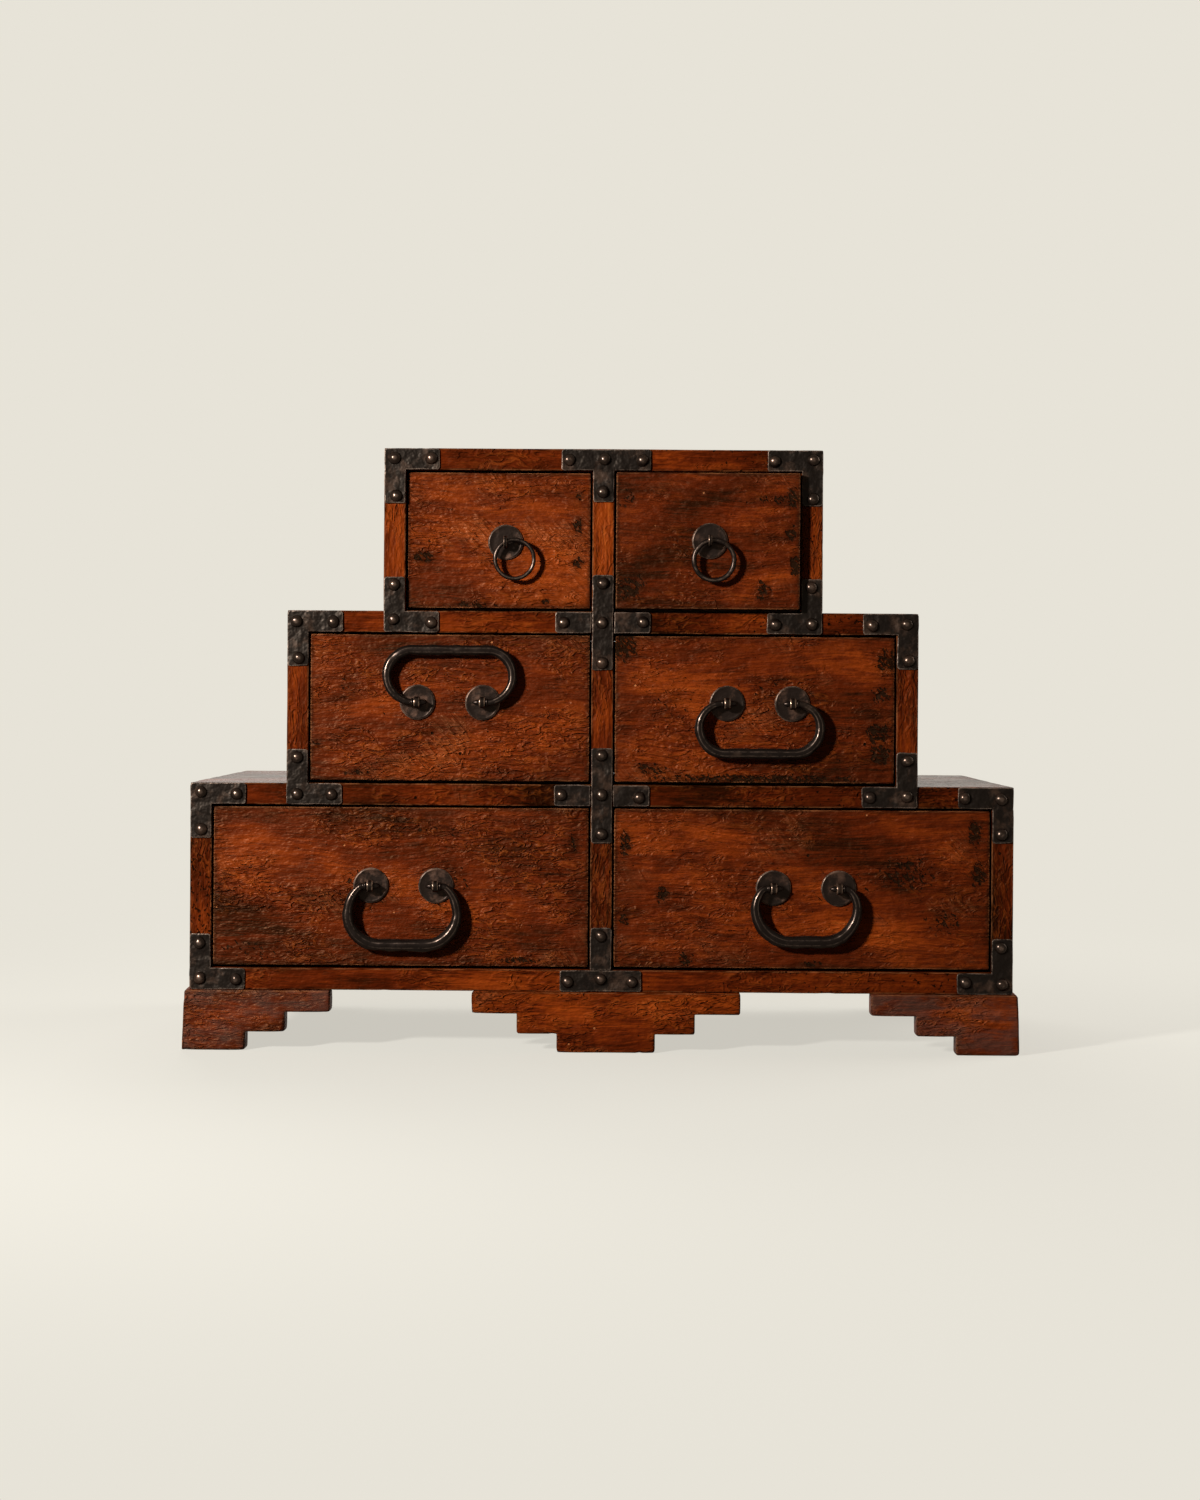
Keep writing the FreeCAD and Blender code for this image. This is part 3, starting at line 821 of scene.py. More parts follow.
@dataclass
class Board:
    """A worn board, cut from a lattice of cells so that steps and housings belong to one skin.

    Attributes:
        low: its lowest corner.
        high: its highest corner.
        seed: of its wear.
        steps: usual spacing of the lattice along each axis.
        rounding: usual radius of its worn edges.
        chips: depth of the deepest bites in its edges.
        bow: how far its faces wander from flat.
        cuts: boxes taken out of it, each as a lowest and a highest corner.
    """

    low: Points
    high: Points
    seed: int
    steps: tuple[float, float, float] = (5.0, 14.0, 5.0)
    rounding: float = 0.7
    chips: float = 0.6
    bow: float = 0.12
    cuts: list[tuple[Points, Points]] = field(default_factory=list)

    NEAR_SHARES = (0.6, 1.2, 2.4, 4.5)  # lattice lines near a face, in roundings
    CORNER_WEAR = 1.2  # how much rounder a corner is than an edge
    CORNER_REACH = 5.0  # how far that goes along the edges
    BITE_START = 0.62  # unevenness above which an edge is bitten
    BITE_REACH = 2.2  # how far a bite goes in from the edge

    def _lines(self, axis: int) -> np.ndarray:
        """Places the lattice lines across one axis, closer together near each face.

        Args:
            axis: 0, 1 or 2.

        Returns:
            The places of the lines.
        """
        faces = {float(self.low[axis]), float(self.high[axis])}
        for low, high in self.cuts:
            ends = (low[axis], high[axis])
            faces |= {float(np.clip(end, self.low[axis], self.high[axis])) for end in ends}
        ordered = sorted(faces)
        lines = [ordered[0]]
        for start, end in zip(ordered, ordered[1:]):
            half = (end - start) / 2
            near = [share * self.rounding for share in self.NEAR_SHARES]
            near = [gap for gap in near if gap < 0.9 * half]
            inner = near[-1] if near else 0.0
            count = max(1, math.ceil((end - start - 2 * inner) / self.steps[axis]))
            middle = np.linspace(start + inner, end - inner, count + 1)
            lines += [start + gap for gap in near[:-1]]
            lines += list(middle if near else middle[1:-1])
            lines += [end - gap for gap in reversed(near[:-1])]
            lines.append(end)
        return np.array(lines)

    def _cells(self, lines: list[np.ndarray]) -> np.ndarray:
        """Says which cells of the lattice are wood.

        Args:
            lines: the lattice lines across each axis.

        Returns:
            True for each cell that no cut takes out.
        """
        middles = [(line[1:] + line[:-1]) / 2 for line in lines]
        filled = np.ones([len(middle) for middle in middles], bool)
        for low, high in self.cuts:
            inside = [(middle > a) & (middle < b) for middle, a, b in zip(middles, low, high)]
            filled[np.ix_(*inside)] = False
        return filled

    def skin(self) -> tuple[Points, list[tuple[int, ...]], Points, np.ndarray]:
        """Takes the outside of the filled cells.

        Returns:
            The points, the faces, the outward direction at each point, and how many of the eight
            cells around each point are wood.
        """
        lines = [self._lines(axis) for axis in range(3)]
        solid = np.pad(self._cells(lines), 1).astype(int)
        shape = [len(line) for line in lines]
        outward = np.zeros((*shape, 3))
        around = np.zeros(shape, int)
        for corner in itertools.product((0, 1), repeat=3):
            cells = solid[tuple(slice(c, c + n) for c, n in zip(corner, shape))]
            around += cells
            outward -= cells[..., None] * (2 * np.array(corner) - 1)
        numbers = np.arange(np.prod(shape)).reshape(shape)
        quads = []
        for axis in range(3):
            rest = tuple(a for a in range(3) if a != axis)
            inner = [slice(1, -1)] * 3
            before, after = list(inner), list(inner)
            before[axis], after[axis] = slice(0, -1), slice(1, None)
            change = solid[tuple(after)] - solid[tuple(before)]
            for sign in (1, -1):
                found = np.array(np.nonzero(change == sign)).T
                turns = [(0, 0), (1, 0), (1, 1), (0, 1)]
                flip = (sign > 0) != (axis == 1)
                loop = []
                for u, v in reversed(turns) if flip else turns:
                    at = found.copy()
                    at[:, rest[0]] += u
                    at[:, rest[1]] += v
                    loop.append(numbers[tuple(at.T)])
                quads.append(np.stack(loop, 1))
        quads = np.concatenate(quads)
        used, faces = np.unique(quads, return_inverse=True)
        grid = np.stack(np.meshgrid(*lines, indexing="ij"), -1).reshape(-1, 3)
        outward = outward.reshape(-1, 3)[used]
        outward /= np.maximum(np.linalg.norm(outward, axis=1, keepdims=True), 1e-9)
        loops = [tuple(face) for face in faces.reshape(-1, 4).tolist()]
        return grid[used], loops, outward, around.ravel()[used]

    @staticmethod
    def _distance(points: Points, targets: Points) -> np.ndarray:
        """How far each point is from the nearest target.

        Args:
            points: one row for each point.
            targets: one row for each target.

        Returns:
            One distance for each point.
        """
        tree = kdtree.KDTree(len(targets))
        for i, target in enumerate(targets):
            tree.insert(target, i)
        tree.balance()
        return np.array([tree.find(point)[2] for point in points])

    @staticmethod
    def _rounded(radius: float | np.ndarray, edge: np.ndarray, around: np.ndarray) -> np.ndarray:
        """How far the points near edges and corners sink so that these are round.

        Args:
            radius: of the edges, at each point if an array.
            edge: distance of each point from the nearest edge.
            around: how many of the eight cells around each point are wood.

        Returns:
            One depth for each point.
        """
        short = np.clip(radius - edge, 0, None)
        sunk = radius - np.sqrt(np.maximum(radius**2 - short**2, 0))
        sunk = np.where(around == 2, radius * (math.sqrt(2) - 1), sunk)
        return np.where(around == 1, radius * (math.sqrt(3) - 1), sunk)

    def shell(self) -> Shell:
        """Builds the board with its wear.

        Returns:
            The skin of the worn board.
        """
        points, faces, outward, around = self.skin()
        edge = self._distance(points, points[around <= 3])
        corner = self._distance(points, points[around == 1])
        rough = Unevenness(self.seed)
        radius = self.rounding * (1 + 0.45 * rough.at(points, 28.0, 2))
        radius = radius * (1 + self.CORNER_WEAR * np.exp(-corner / self.CORNER_REACH))
        sunk = self._rounded(radius, edge, around)
        sunk = np.where(around == 3, radius * (math.sqrt(2) - 1) / 2, sunk)
        bites = np.clip(rough.at(points + 57.0, 11.0, 2) - self.BITE_START, 0, None)
        sunk = sunk + self.chips * 2.2 * bites * np.exp(-edge / self.BITE_REACH)
        sunk = sunk + self.bow * (1 + rough.at(points + 113.0, 46.0, 2))
        return Shell(points - outward * sunk[:, None], faces, edge, np.zeros(len(points)))


@dataclass
class Plate(Board):
    """A strap hammered flat, with free corners rounded off in plan.

    Attributes:
        free: each rounded corner as its X and Z and the way inwards along each of them.
        corner: radius of those corners.
        hammered: how far the hammer marks move the face.
        wander: how far the outline strays from straight.
    """

    free: list[tuple[float, float, float, float]] = field(default_factory=list)
    corner: float = 2.0
    hammered: float = 0.20
    wander: float = 0.32

    def shell(self) -> Shell:
        """Builds the strap with its hammer marks.

        Returns:
            The skin of the strap.
        """
        points, faces, outward, around = self.skin()
        front = points[:, 1] < self.high[1] - self.rounding
        edge = self._distance(points, points[(around <= 3) & front])
        rough = Unevenness(self.seed)
        sunk = self._rounded(self.rounding, edge, around)
        formed = points - outward * sunk[:, None]
        for x, z, across, up in self.free:
            inner = np.array([x + across * self.corner, z + up * self.corner])
            reach = formed[:, [0, 2]] - inner
            outside = (reach[:, 0] * across < 0) & (reach[:, 1] * up < 0)
            length = np.linalg.norm(reach[outside], axis=1)
            square = np.abs(reach[outside]).max(axis=1)
            turned = inner + reach[outside] * (square / np.maximum(length, 1e-9))[:, None]
            formed[np.ix_(outside, [0, 2])] = turned
        formed[:, 0] += self.wander * rough.at(points, 9.0, 2).clip(-1, 1)
        formed[:, 2] += self.wander * rough.at(points + 71.0, 9.0, 2).clip(-1, 1)
        formed[front, 1] += self.hammered * rough.at(points[front] + 29.0, 8.0, 2)
        return Shell(formed, faces, edge, np.zeros(len(points)))


def tube_faces(stations: int, around: int, closed: bool) -> list[tuple[int, ...]]:
    """Faces of a tube whose rings turn against the way it runs.

    Args:
        stations: how many rings it has.
        around: how many points each ring has.
        closed: whether the last ring joins the first; otherwise both ends are capped.

    Returns:
        The point numbers of each face.
    """
    faces = []
    for i in range(stations if closed else stations - 1):
        here, there = i * around, (i + 1) % stations * around
        for j in range(around):
            k = (j + 1) % around
            faces.append((here + j, there + j, there + k, here + k))
    if not closed:
        faces.append(tuple(range(around)))
        faces.append(tuple(reversed(range((stations - 1) * around, stations * around))))
    return faces


def lathe(profile: list[tuple[float, float]], around: int, wobble: float, seed: int) -> Shell:
    """Turns a profile about the Y axis, a little out of round.

    Args:
        profile: the radius and the forward reach of each ring, from the back to the crown.
        around: how many points each ring has.
        wobble: how far the piece is out of round, as a share of its radius.
        seed: of its unevenness.

    Returns:
        The closed skin; its edge values are the distances from the widest ring.
    """
    turns = np.linspace(0, 2 * math.pi, around, endpoint=False)
    rings = [[(r * math.cos(t), -reach, r * math.sin(t)) for t in turns] for r, reach in profile]
    points = np.array(rings).reshape(-1, 3)
    rough = Unevenness(seed)
    widest = max(r for r, _ in profile)
    points[:, [0, 2]] *= 1 + wobble * rough.at(points, widest * 0.8, 2)[:, None]
    points[:, 1] += wobble * widest * 0.5 * rough.at(points + 41.0, widest * 0.45, 1)
    edge = np.repeat([widest - r for r, _ in profile], around)
    return Shell(points, tube_faces(len(profile), around, False), edge, np.zeros(len(points)))


# Sub-assemblies


@dataclass
class Carcass:
    """The case: boards laid flat, upright sides and partitions, and the panels behind.

    Attributes:
        board: thickness of the boards.
        tiers: names of the tiers, from the lowest.
        reach: how far the darkening near the front goes back along a side board.
    """

    board: float = 16.0
    tiers: tuple[str, ...] = ("lower", "middle", "upper")
    reach: float = 30.0

    FLAT_TONES = {"base_board": 0.06, "lower_tread": -0.10, "upper_tread": 0.0, "top_board": 0.04}
    SIDE_TONES = (-0.08, -0.05, 0.14)  # for each tier, as StainedWood takes them
    PARTITION_TONES = (-0.18, -0.03, 0.25)  # for each tier
    FRONT_DARKENING = ((0.38, 0.0), (0.0, 0.0), (0.0, 0.25))  # darkening near the front of the left and right side of each tier; on the upper right side it is painted shade
    PAINTED_SHADE = 0.4  # painted shade: darker towards the right ends of the flat boards, where the light falls off
    UPRIGHT_STEPS = (4.0, 15.0, 4.5)  # spacing of the lattice of an upright board
    GRIME = 2.2  # how far dirt reaches in from the edges

    def build(self) -> None:
        """Builds every board of the case."""
        self._flat_boards()
        for number, tier in enumerate(self.tiers):
            self._uprights(number, tier)
        self._back_panels()

    def _flat_boards(self) -> None:
        """The base, the two treads and the top."""
        for seed, (node, glow) in enumerate(self.FLAT_TONES.items(), 3):
            low, high = place_of(node)
            shell = Board(low, high, seed, (4.5, 15.0, 4.0)).shell()
            # Painted shade: the mark, and with it the darkening, grows towards the right end of the board.
            shell.mark += self.PAINTED_SHADE * np.clip(shell.points[:, 0] / high[0], 0, 1)
            wax = {"gloss": 0.04, "polish": float(node.endswith("tread"))}
            finish = StainedWood("stain_" + node, Grain.LAID, seed, glow, self.GRIME, **wax)
            show("board_" + node, shell, Role("case", (node,), "case_wood"), finish.material())

    def _uprights(self, number: int, tier: str) -> None:
        """The two sides and the partition of one tier.

        Args:
            number: of the tier, from 0 at the bottom.
            tier: its name.
        """
        seed = 20 + 3 * number
        sides = two_sides(tier + "_sides", self.board)
        shells = [Board(*ends, seed + i, self.UPRIGHT_STEPS).shell() for i, ends in enumerate(sides)]
        front = sides[0][0][1]
        # Darker towards the front of each side board; on the upper right side this is painted shade.
        for shell, darkening in zip(shells, self.FRONT_DARKENING[number]):
            shell.mark += darkening * np.clip(1 - (shell.points[:, 1] - front) / self.reach, 0, 1)
        self._upright(tier + "_sides", Shell.join(shells), seed, self.SIDE_TONES[number])
        shell = Board(*place_of(tier + "_partition"), seed + 2, self.UPRIGHT_STEPS).shell()
        self._upright(tier + "_partition", shell, seed + 1, self.PARTITION_TONES[number])

    def _upright(self, node: str, shell: Shell, seed: int, glow: float) -> None:
        """Shows upright boards of the case.

        Args:
            node: the node that they stand for.
            shell: their skin.
            seed: of their grain.
            glow: their tone, as StainedWood takes it.
        """
        finish = StainedWood("stain_" + node, Grain.ALONG_Z, seed, glow, self.GRIME)
        show("board_" + node, shell, Role("case", (node,), "case_wood"), finish.material())

    def _back_panels(self) -> None:
        """The panel let into the back of each tier."""
        low, high = place_of("back_panels")
        shells = []
        for number, tier in enumerate(self.tiers):
            side_low, side_high = place_of(tier + "_sides")
            start = np.array([side_low[0] + self.board, low[1], side_low[2]])
            end = np.array([side_high[0] - self.board, high[1], side_high[2]])
            shells.append(Board(start, end, 40 + number, (12.0, 4.0, 12.0), 0.6, 0.4).shell())
        role = Role("case", ("back_panels",), "box_wood")
        finish = BareWood("bare_back_panels", Grain.ALONG_X, 2)
        show("panel_backs", Shell.join(shells), role, finish.material())


@dataclass
class Feet:
    """Stepped brackets at the corners and at the middle of the front, with blocks glued behind.

    Attributes:
        board: thickness of the brackets.
        ear: height of the top step of a bracket.
        step: height of its middle step.
        front_lengths, side_lengths: ear, step and toe of a corner foot along the front and the side.
        centre_widths: ear, step and toe of the centre foot.
        flare: how far the toes lean outwards.
        block: side of a glue block.
        height: of the feet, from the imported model.
    """

    board: float = 16.0
    ear: float = 16.0
    step: float = 14.5
    front_lengths: tuple[float, float, float] = (107.0, 74.0, 45.0)
    side_lengths: tuple[float, float, float] = (86.0, 62.0, 40.0)
    centre_widths: tuple[float, float, float] = (196.0, 130.0, 72.0)
    flare: float = 1.4
    block: float = 22.0
    height: float = field(init=False)

    STEPS = (3.0, 5.0, 3.0)  # spacing of the lattice of a bracket
    ROUNDING = 1.3  # of its edges
    CHIPS = 1.5  # depth of the bites in them
    GRIME = 2.6  # how far dirt reaches in from the edges

    def build(self) -> None:
        """Builds the feet and the blocks behind them."""
        self.height = float(place_of("front_feet")[1][2])
        centre = StainedWood("stain_centre_foot", Grain.ALONG_X, 51, 0.13, self.GRIME, 1.5)
        show("foot_centre", self._centre(), Role("case", ("centre_foot",), "foot_wood"), centre.material())
        for node, seed in (("front_feet", 52), ("rear_feet", 61)):
            role = Role("case", (node,), "foot_wood")
            for grain, way in ((Grain.ALONG_X, "across"), (Grain.ALONG_Y, "along")):
                finish = StainedWood(f"stain_{node}_{way}", grain, seed, -0.02, self.GRIME, 1.0, dust=0.16)
                show(f"{node}_{way}", self._corners(node, seed, grain), role, finish.material())
        self._blocks()

    def _bracket(self, lengths: tuple[float, float, float], seed: int) -> Shell:
        """A stepped board along +X from the corner at the origin, its end mitred.

        Args:
            lengths: of the ear, the step and the toe.
            seed: of its wear.

        Returns:
            The skin of the bracket.
        """
        ear, step, toe = lengths
        under_ear = self.height - self.ear
        under_step = under_ear - self.step
        past = self.board
        cuts = [
            (np.array([step, -past, -past]), np.array([ear + past, 2 * past, under_ear])),
            (np.array([toe, -past, -past]), np.array([step, 2 * past, under_step])),
        ]
        high = np.array([ear, self.board, self.height])
        shell = Board(np.zeros(3), high, seed, self.STEPS, self.ROUNDING, self.CHIPS, cuts=cuts).shell()
        x, y, _ = shell.points.T
        reach = 2 * self.board
        near = x < reach
        x[near] = y[near] + x[near] * (reach - y[near]) / reach
        return shell

    def _corners(self, node: str, seed: int, grain: Grain) -> Shell:
        """One bracket of each of the two corner feet at the front or the back.

        Args:
            node: the node that they stand for.
            seed: of their wear.
            grain: along X for the brackets that face the front or the back, along Y for the side ones.

        Returns:
            The skin of the two boards.
        """
        low, high = place_of(node)
        front = node == "front_feet"
        turned = grain is Grain.ALONG_Y
        lengths = self.side_lengths if turned else self.front_lengths
        swap = Matrix(((0, 1, 0, 0), (1, 0, 0, 0), (0, 0, 1, 0), (0, 0, 0, 1)))
        shells = []
        for side in (-1, 1):
            shell = self._bracket(lengths, seed + turned + 2 * (side > 0))
            shell = shell.moved(swap) if turned else shell
            x, _, z = shell.points.T
            x -= self.flare * (1 - z / self.height) * np.clip(1 - x / self.front_lengths[2], 0, 1)
            corner = Vector((low[0] if side < 0 else high[0], low[1] if front else high[1], 0))
            place = Matrix.Translation(corner) @ Matrix.Diagonal((-side, 1 if front else -1, 1, 1))
            shells.append(shell.moved(place))
        return Shell.join(shells)

    def _centre(self) -> Shell:
        """The board at the middle of the front, stepped at both ends.

        Returns:
            The skin of the board.
        """
        low, high = place_of("centre_foot")
        middle = (low[0] + high[0]) / 2
        under_ear = self.height - self.ear
        tops = (under_ear, under_ear - self.step)
        cuts = []
        for inner, outer, top in zip(self.centre_widths[1:], self.centre_widths, tops):
            for side in (-1, 1):
                ends = sorted((middle + side * inner / 2, middle + side * outer / 2 + side * self.board))
                start = np.array([ends[0], low[1] - self.board, -self.board])
                cuts.append((start, np.array([ends[1], high[1] + self.board, top])))
        return Board(low, high, 50, self.STEPS, self.ROUNDING, self.CHIPS, cuts=cuts).shell()

    def _blocks(self) -> None:
        """A glue block in each corner foot, and two behind the centre foot."""
        low, high = place_of("foot_blocks")
        centre_low, centre_high = place_of("centre_foot")
        middle = (centre_low[0] + centre_high[0]) / 2
        half = self.centre_widths[2] / 2
        behind = centre_high[1]
        starts = [(x, y) for x in (low[0], high[0] - self.block) for y in (low[1], high[1] - self.block)]
        starts += [(middle - half, behind), (middle + half - self.block, behind)]
        shells = []
        for number, (x, y) in enumerate(starts):
            start = np.array([x, y, low[2]])
            end = np.array([x + self.block, y + self.block, high[2]])
            shells.append(Board(start, end, 70 + number, (6.0, 6.0, 6.0), 0.8, 0.6).shell())
        role = Role("case", ("foot_blocks",), "box_wood")
        finish = BareWood("bare_foot_blocks", Grain.ALONG_Z, 5)
        show("foot_blocks_glued", Shell.join(shells), role, finish.material())


@dataclass
class Straps:
    """Iron straps over the joints of the case front, and the nails that hold them.

    Attributes:
        width: of a strap, the thickness of the boards that it covers.
        thickness: of a strap.
        seat: how far a strap has bedded into the wood.
        leg: length of each leg of a corner strap.
        tee_left, tee_right, tee_stem: reach of the T at the top, from the middle of its post.
        cross: reach of the straps over a crossing, from its middle.
        base_reach, base_stub: reach of the bar at the foot of the posts, and of the stub above it.
        shy: how far a strap stays back from the edges of its boards.
        inset: of a nail from the free end of its strap.
        head, dome: radius and height of a nail's head.
        drift: how far nails sit off their marks.
        face: where the case front is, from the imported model.
        places: X and Z of each nail, in the order in which the straps are laid.
    """

    width: float = 16.0
    thickness: float = 1.2
    seat: float = 0.4
    leg: float = 41.0
    tee_left: float = 31.0
    tee_right: float = 35.0
    tee_stem: float = 39.0
    cross: float = 35.0
    base_reach: float = 30.0
    base_stub: float = 47.0
    shy: float = 0.35
    inset: float = 6.5
    head: float = 4.7
    dome: float = 3.2
    drift: float = 0.7
    face: float = field(init=False)
    places: list[tuple[float, float]] = field(default_factory=list)

    DOME_SHARES = (0.9, 0.75, 0.55, 0.35, 0.15)  # rings of a nail's head, from its rim to its crown

    def build(self) -> None:
        """Builds the straps and drives the nails."""
        self.face = place_of("top_board")[0][1]
        iron = ForgedIron("iron_straps").material()
        places = itertools.product(Carcass.tiers, (-1, 1), (-1, 1))
        corners = [self._corner(tier, side, end) for tier, side, end in places]
        show("straps_corners", Shell.join(corners), Role("case", ("corner_straps",), "strap_iron"), iron)
        posts = [self._tee(), *self._cross("upper"), *self._cross("middle"), *self._base()]
        show("straps_posts", Shell.join(posts), Role("case", ("post_straps",), "strap_iron"), iron)
        self._nails()

    def _plate(
        self,
        low: tuple[float, float],
        high: tuple[float, float],
        free: list[tuple[float, float, float, float]],
        cuts: list[tuple[float, float, float, float]] | None = None,
    ) -> Shell:
        """A strap from its outline on the case front.

        Args:
            low: its lowest X and Z.
            high: its highest X and Z.
            free: its rounded corners, as Plate takes them.
            cuts: rectangles missing from it, each as two X and then two Z.

        Returns:
            The skin of the strap.
        """
        past, shy = self.width, self.shy
        boxes = []
        for x0, x1, z0, z1 in cuts or []:
            near = np.array([x0 - shy, self.face - past, z0 - shy])
            boxes.append((near, np.array([x1 + shy, self.face + past, z1 + shy])))
        start = np.array([low[0] + shy, self.face - self.thickness, low[1] + shy])
        end = np.array([high[0] - shy, self.face + self.seat, high[1] - shy])
        seed = 100 + len(self.places)
        rounded = [(x + across * shy, z + up * shy, across, up) for x, z, across, up in free]
        return Plate(start, end, seed, (1.9, 2.0, 1.9), 0.42, cuts=boxes, free=rounded).shell()

    def _corner(self, tier: str, side: int, end: int) -> Shell:
        """An L over one corner of a tier.

        Args:
            tier: name of the tier.
            side: -1 for the left and 1 for the right.
            end: -1 for the lower corner and 1 for the upper one.

        Returns:
            The skin of the strap.
        """
        low, high = place_of(tier + "_sides")
        x = low[0] if side < 0 else high[0]
        z = low[2] - self.width if end < 0 else high[2] + self.width
        xs = sorted((x, x - side * self.leg))
        zs = sorted((z, z - end * self.leg))
        past = self.width
        notch_x = sorted((x - side * self.width, x - side * (self.leg + past)))
        notch_z = sorted((z - end * self.width, z - end * (self.leg + past)))
        far_x, far_z = x - side * self.leg, z - end * self.leg
        free = [(x, z, -side, -end), (far_x, z, side, -end), (x, far_z, -side, end)]
        free += [(far_x, z - end * self.width, side, end), (x - side * self.width, far_z, side, end)]
        half, tip = self.width / 2, self.leg - self.inset
        self.places += [(x - side * a, z - end * b) for a, b in ((half, half), (tip, half), (half, tip))]
        return self._plate((xs[0], zs[0]), (xs[1], zs[1]), free, [(*notch_x, *notch_z)])

    def _tee(self) -> Shell:
        """The T at the head of the upper partition.

        Returns:
            The skin of the strap.
        """
        top = place_of("top_board")[1][2]
        half, rail, low = self.width / 2, top - self.width, top - self.tee_stem
        past = self.width
        left, right = -self.tee_left, self.tee_right
        cuts = [(left - past, -half, low - past, rail), (half, right + past, low - past, rail)]
        free = [(left, top, 1, -1), (right, top, -1, -1), (left, rail, 1, 1)]
        free += [(right, rail, -1, 1), (-half, low, 1, 1), (half, low, -1, 1)]
        self.places += [(x, top - half) for x in (left + self.inset, 0, right - self.inset)]
        self.places.append((0, low + self.inset))
        return self._plate((left, low), (right, top), free, cuts)

    def _cross(self, tier: str) -> list[Shell]:
        """The upright strap over the crossing under a tier, and a short one butted at each side.

        Args:
            tier: name of the tier above the crossing.

        Returns:
            The skins of the three straps.
        """
        middle = place_of(tier + "_partition")[0][2] - self.width / 2
        half, end = self.width / 2, self.cross - self.inset
        low, high = middle - self.cross, middle + self.cross
        free = [(-half, low, 1, 1), (half, low, -1, 1), (-half, high, 1, -1), (half, high, -1, -1)]
        straps = [self._plate((-half, low), (half, high), free)]
        self.places += [(0, middle), (0, middle + end), (0, middle - end)]
        for side in (-1, 1):
            tip = side * self.cross
            xs = sorted((side * half, tip))
            tips = [(tip, middle - half, -side, 1), (tip, middle + half, -side, -1)]
            straps.append(self._plate((xs[0], middle - half), (xs[1], middle + half), tips))
            self.places.append((side * end, middle))
        return straps

    def _base(self) -> list[Shell]:
        """The bar under the lower partition, and the upright stub butted on it.

        Returns:
            The skins of the two straps.
        """
        low, high = (corner[2] for corner in place_of("base_board"))
        half, reach, top = self.width / 2, self.base_reach, low + self.base_stub
        free = [(side * reach, z, -side, way) for side in (-1, 1) for z, way in ((low, 1), (high, -1))]
        straps = [self._plate((-reach, low), (reach, high), free)]
        self.places += [(x, (low + high) / 2) for x in (self.inset - reach, 0, reach - self.inset)]
        tips = [(-half, top, 1, -1), (half, top, -1, -1)]
        straps.append(self._plate((-half, high), (half, top), tips))
        self.places.append((0, top - self.inset))
        return straps

    def _nails(self) -> None:
        """The dome headed nails, each a little off its mark."""
        sphere = (self.head**2 + self.dome**2) / (2 * self.dome)
        widest = math.asin(self.head / sphere)
        angles = [widest * share for share in self.DOME_SHARES]
        profile = [(self.head * 0.9, -self.seat), (self.head, 0.0)]
        profile += [(sphere * math.sin(a), self.dome - sphere * (1 - math.cos(a))) for a in angles]
        drift = np.random.default_rng(7).normal(0, self.drift, (len(self.places), 2))
        drift = drift.clip(-2 * self.drift, 2 * self.drift)
        shells = []
        for number, ((x, z), (dx, dz)) in enumerate(zip(self.places, drift)):
            nail = lathe(profile, 18, 0.07, 300 + number)
            nail.edge = self.head - nail.edge
            place = Vector((x + dx, self.face - self.thickness + 0.1, z + dz))
            shells.append(nail.moved(Matrix.Translation(place)))
        # The rubbed crown of each nail head is lighter: partly wear, partly a painted highlight.
        iron = ForgedIron(
            "iron_nails",
            black=paint(31, 22, 17),
            brown=paint(56, 40, 31),
            bright_and_highlight=paint(116, 95, 81),
            rub=2.4,
            dull=0.26,
            uneven=0.05,
            hammer=0.12,
            pitting=0.0,
            metal=0.5,
            gloss=0.16,
        )
        role = Role("case", ("strap_nails",), "nail_iron")
        show("nails_domed", Shell.join(shells), role, iron.material())


@dataclass(frozen=True)
class BailForm:
    """The shape of one drop handle.

    Attributes:
        half_width: from its middle to the middle line of the bar at its widest.
        drop: from the pintles to the middle line of the bar at its lowest.
        lead: degrees that the bend beside the collar turns.
        bar: thickness at the middle of the bar.
        raised: whether it was left turned up against the drawer front.
    """

    half_width: float
    drop: float
    lead: float
    bar: float
    raised: bool = False


@dataclass(frozen=True)
class RingForm:
    """The shape of one ring pull.

    Attributes:
        radius: to the middle line of the wire.
        wire: radius of the wire.
        lean: degrees that the ring has settled to one side of its eye.
    """

    radius: float
    wire: float
    lean: float


@dataclass(frozen=True)
class PullIrons:
    """The finishes that all the pulls share.

    Attributes:
        handles: of the rings and bails.
        rosettes: of the discs under the eyes.
        pins: of the eyes and their legs.
    """

    handles: bpy.types.Material
    rosettes: bpy.types.Material
    pins: bpy.types.Material

    @classmethod
    def forge(cls) -> "PullIrons":
        """Makes the three finishes.

        Returns:
            The finishes.
        """
        handles = ForgedIron(
            "iron_pulls",
            black=paint(25, 19, 16),
            brown=paint(44, 33, 26),
            bright_and_highlight=paint(98, 81, 70),
            rust=0.35,
            rub=0.5,
            dull=0.30,
            uneven=0.12,
            hammer=0.3,
            pitting=0.01,
            metal=0.6,
        )
        # The rubbed rim of each rosette is lighter: partly wear, partly a painted highlight on its bevel.
        rosettes = ForgedIron(
            "iron_rosettes",
            black=paint(30, 22, 18),
            brown=paint(66, 47, 37),
            bright_and_highlight=paint(150, 122, 102),
            rub=0.9,
            dull=0.34,
            hammer=0.5,
            pitting=0.015,
            metal=0.4,
        )
        # The rubbed arrises of the pins are lighter: partly wear, partly painted highlights.
        pins = ForgedIron(
            "iron_pins",
            black=paint(19, 13, 10),
            brown=paint(44, 31, 24),
            bright_and_highlight=paint(160, 130, 108),
            rub=0.9,
            dull=0.30,
            uneven=0.12,
            hammer=0.3,
            pitting=0.01,
            metal=0.6,
            gloss=0.15,
        )
        return cls(handles.material(), rosettes.material(), pins.material())


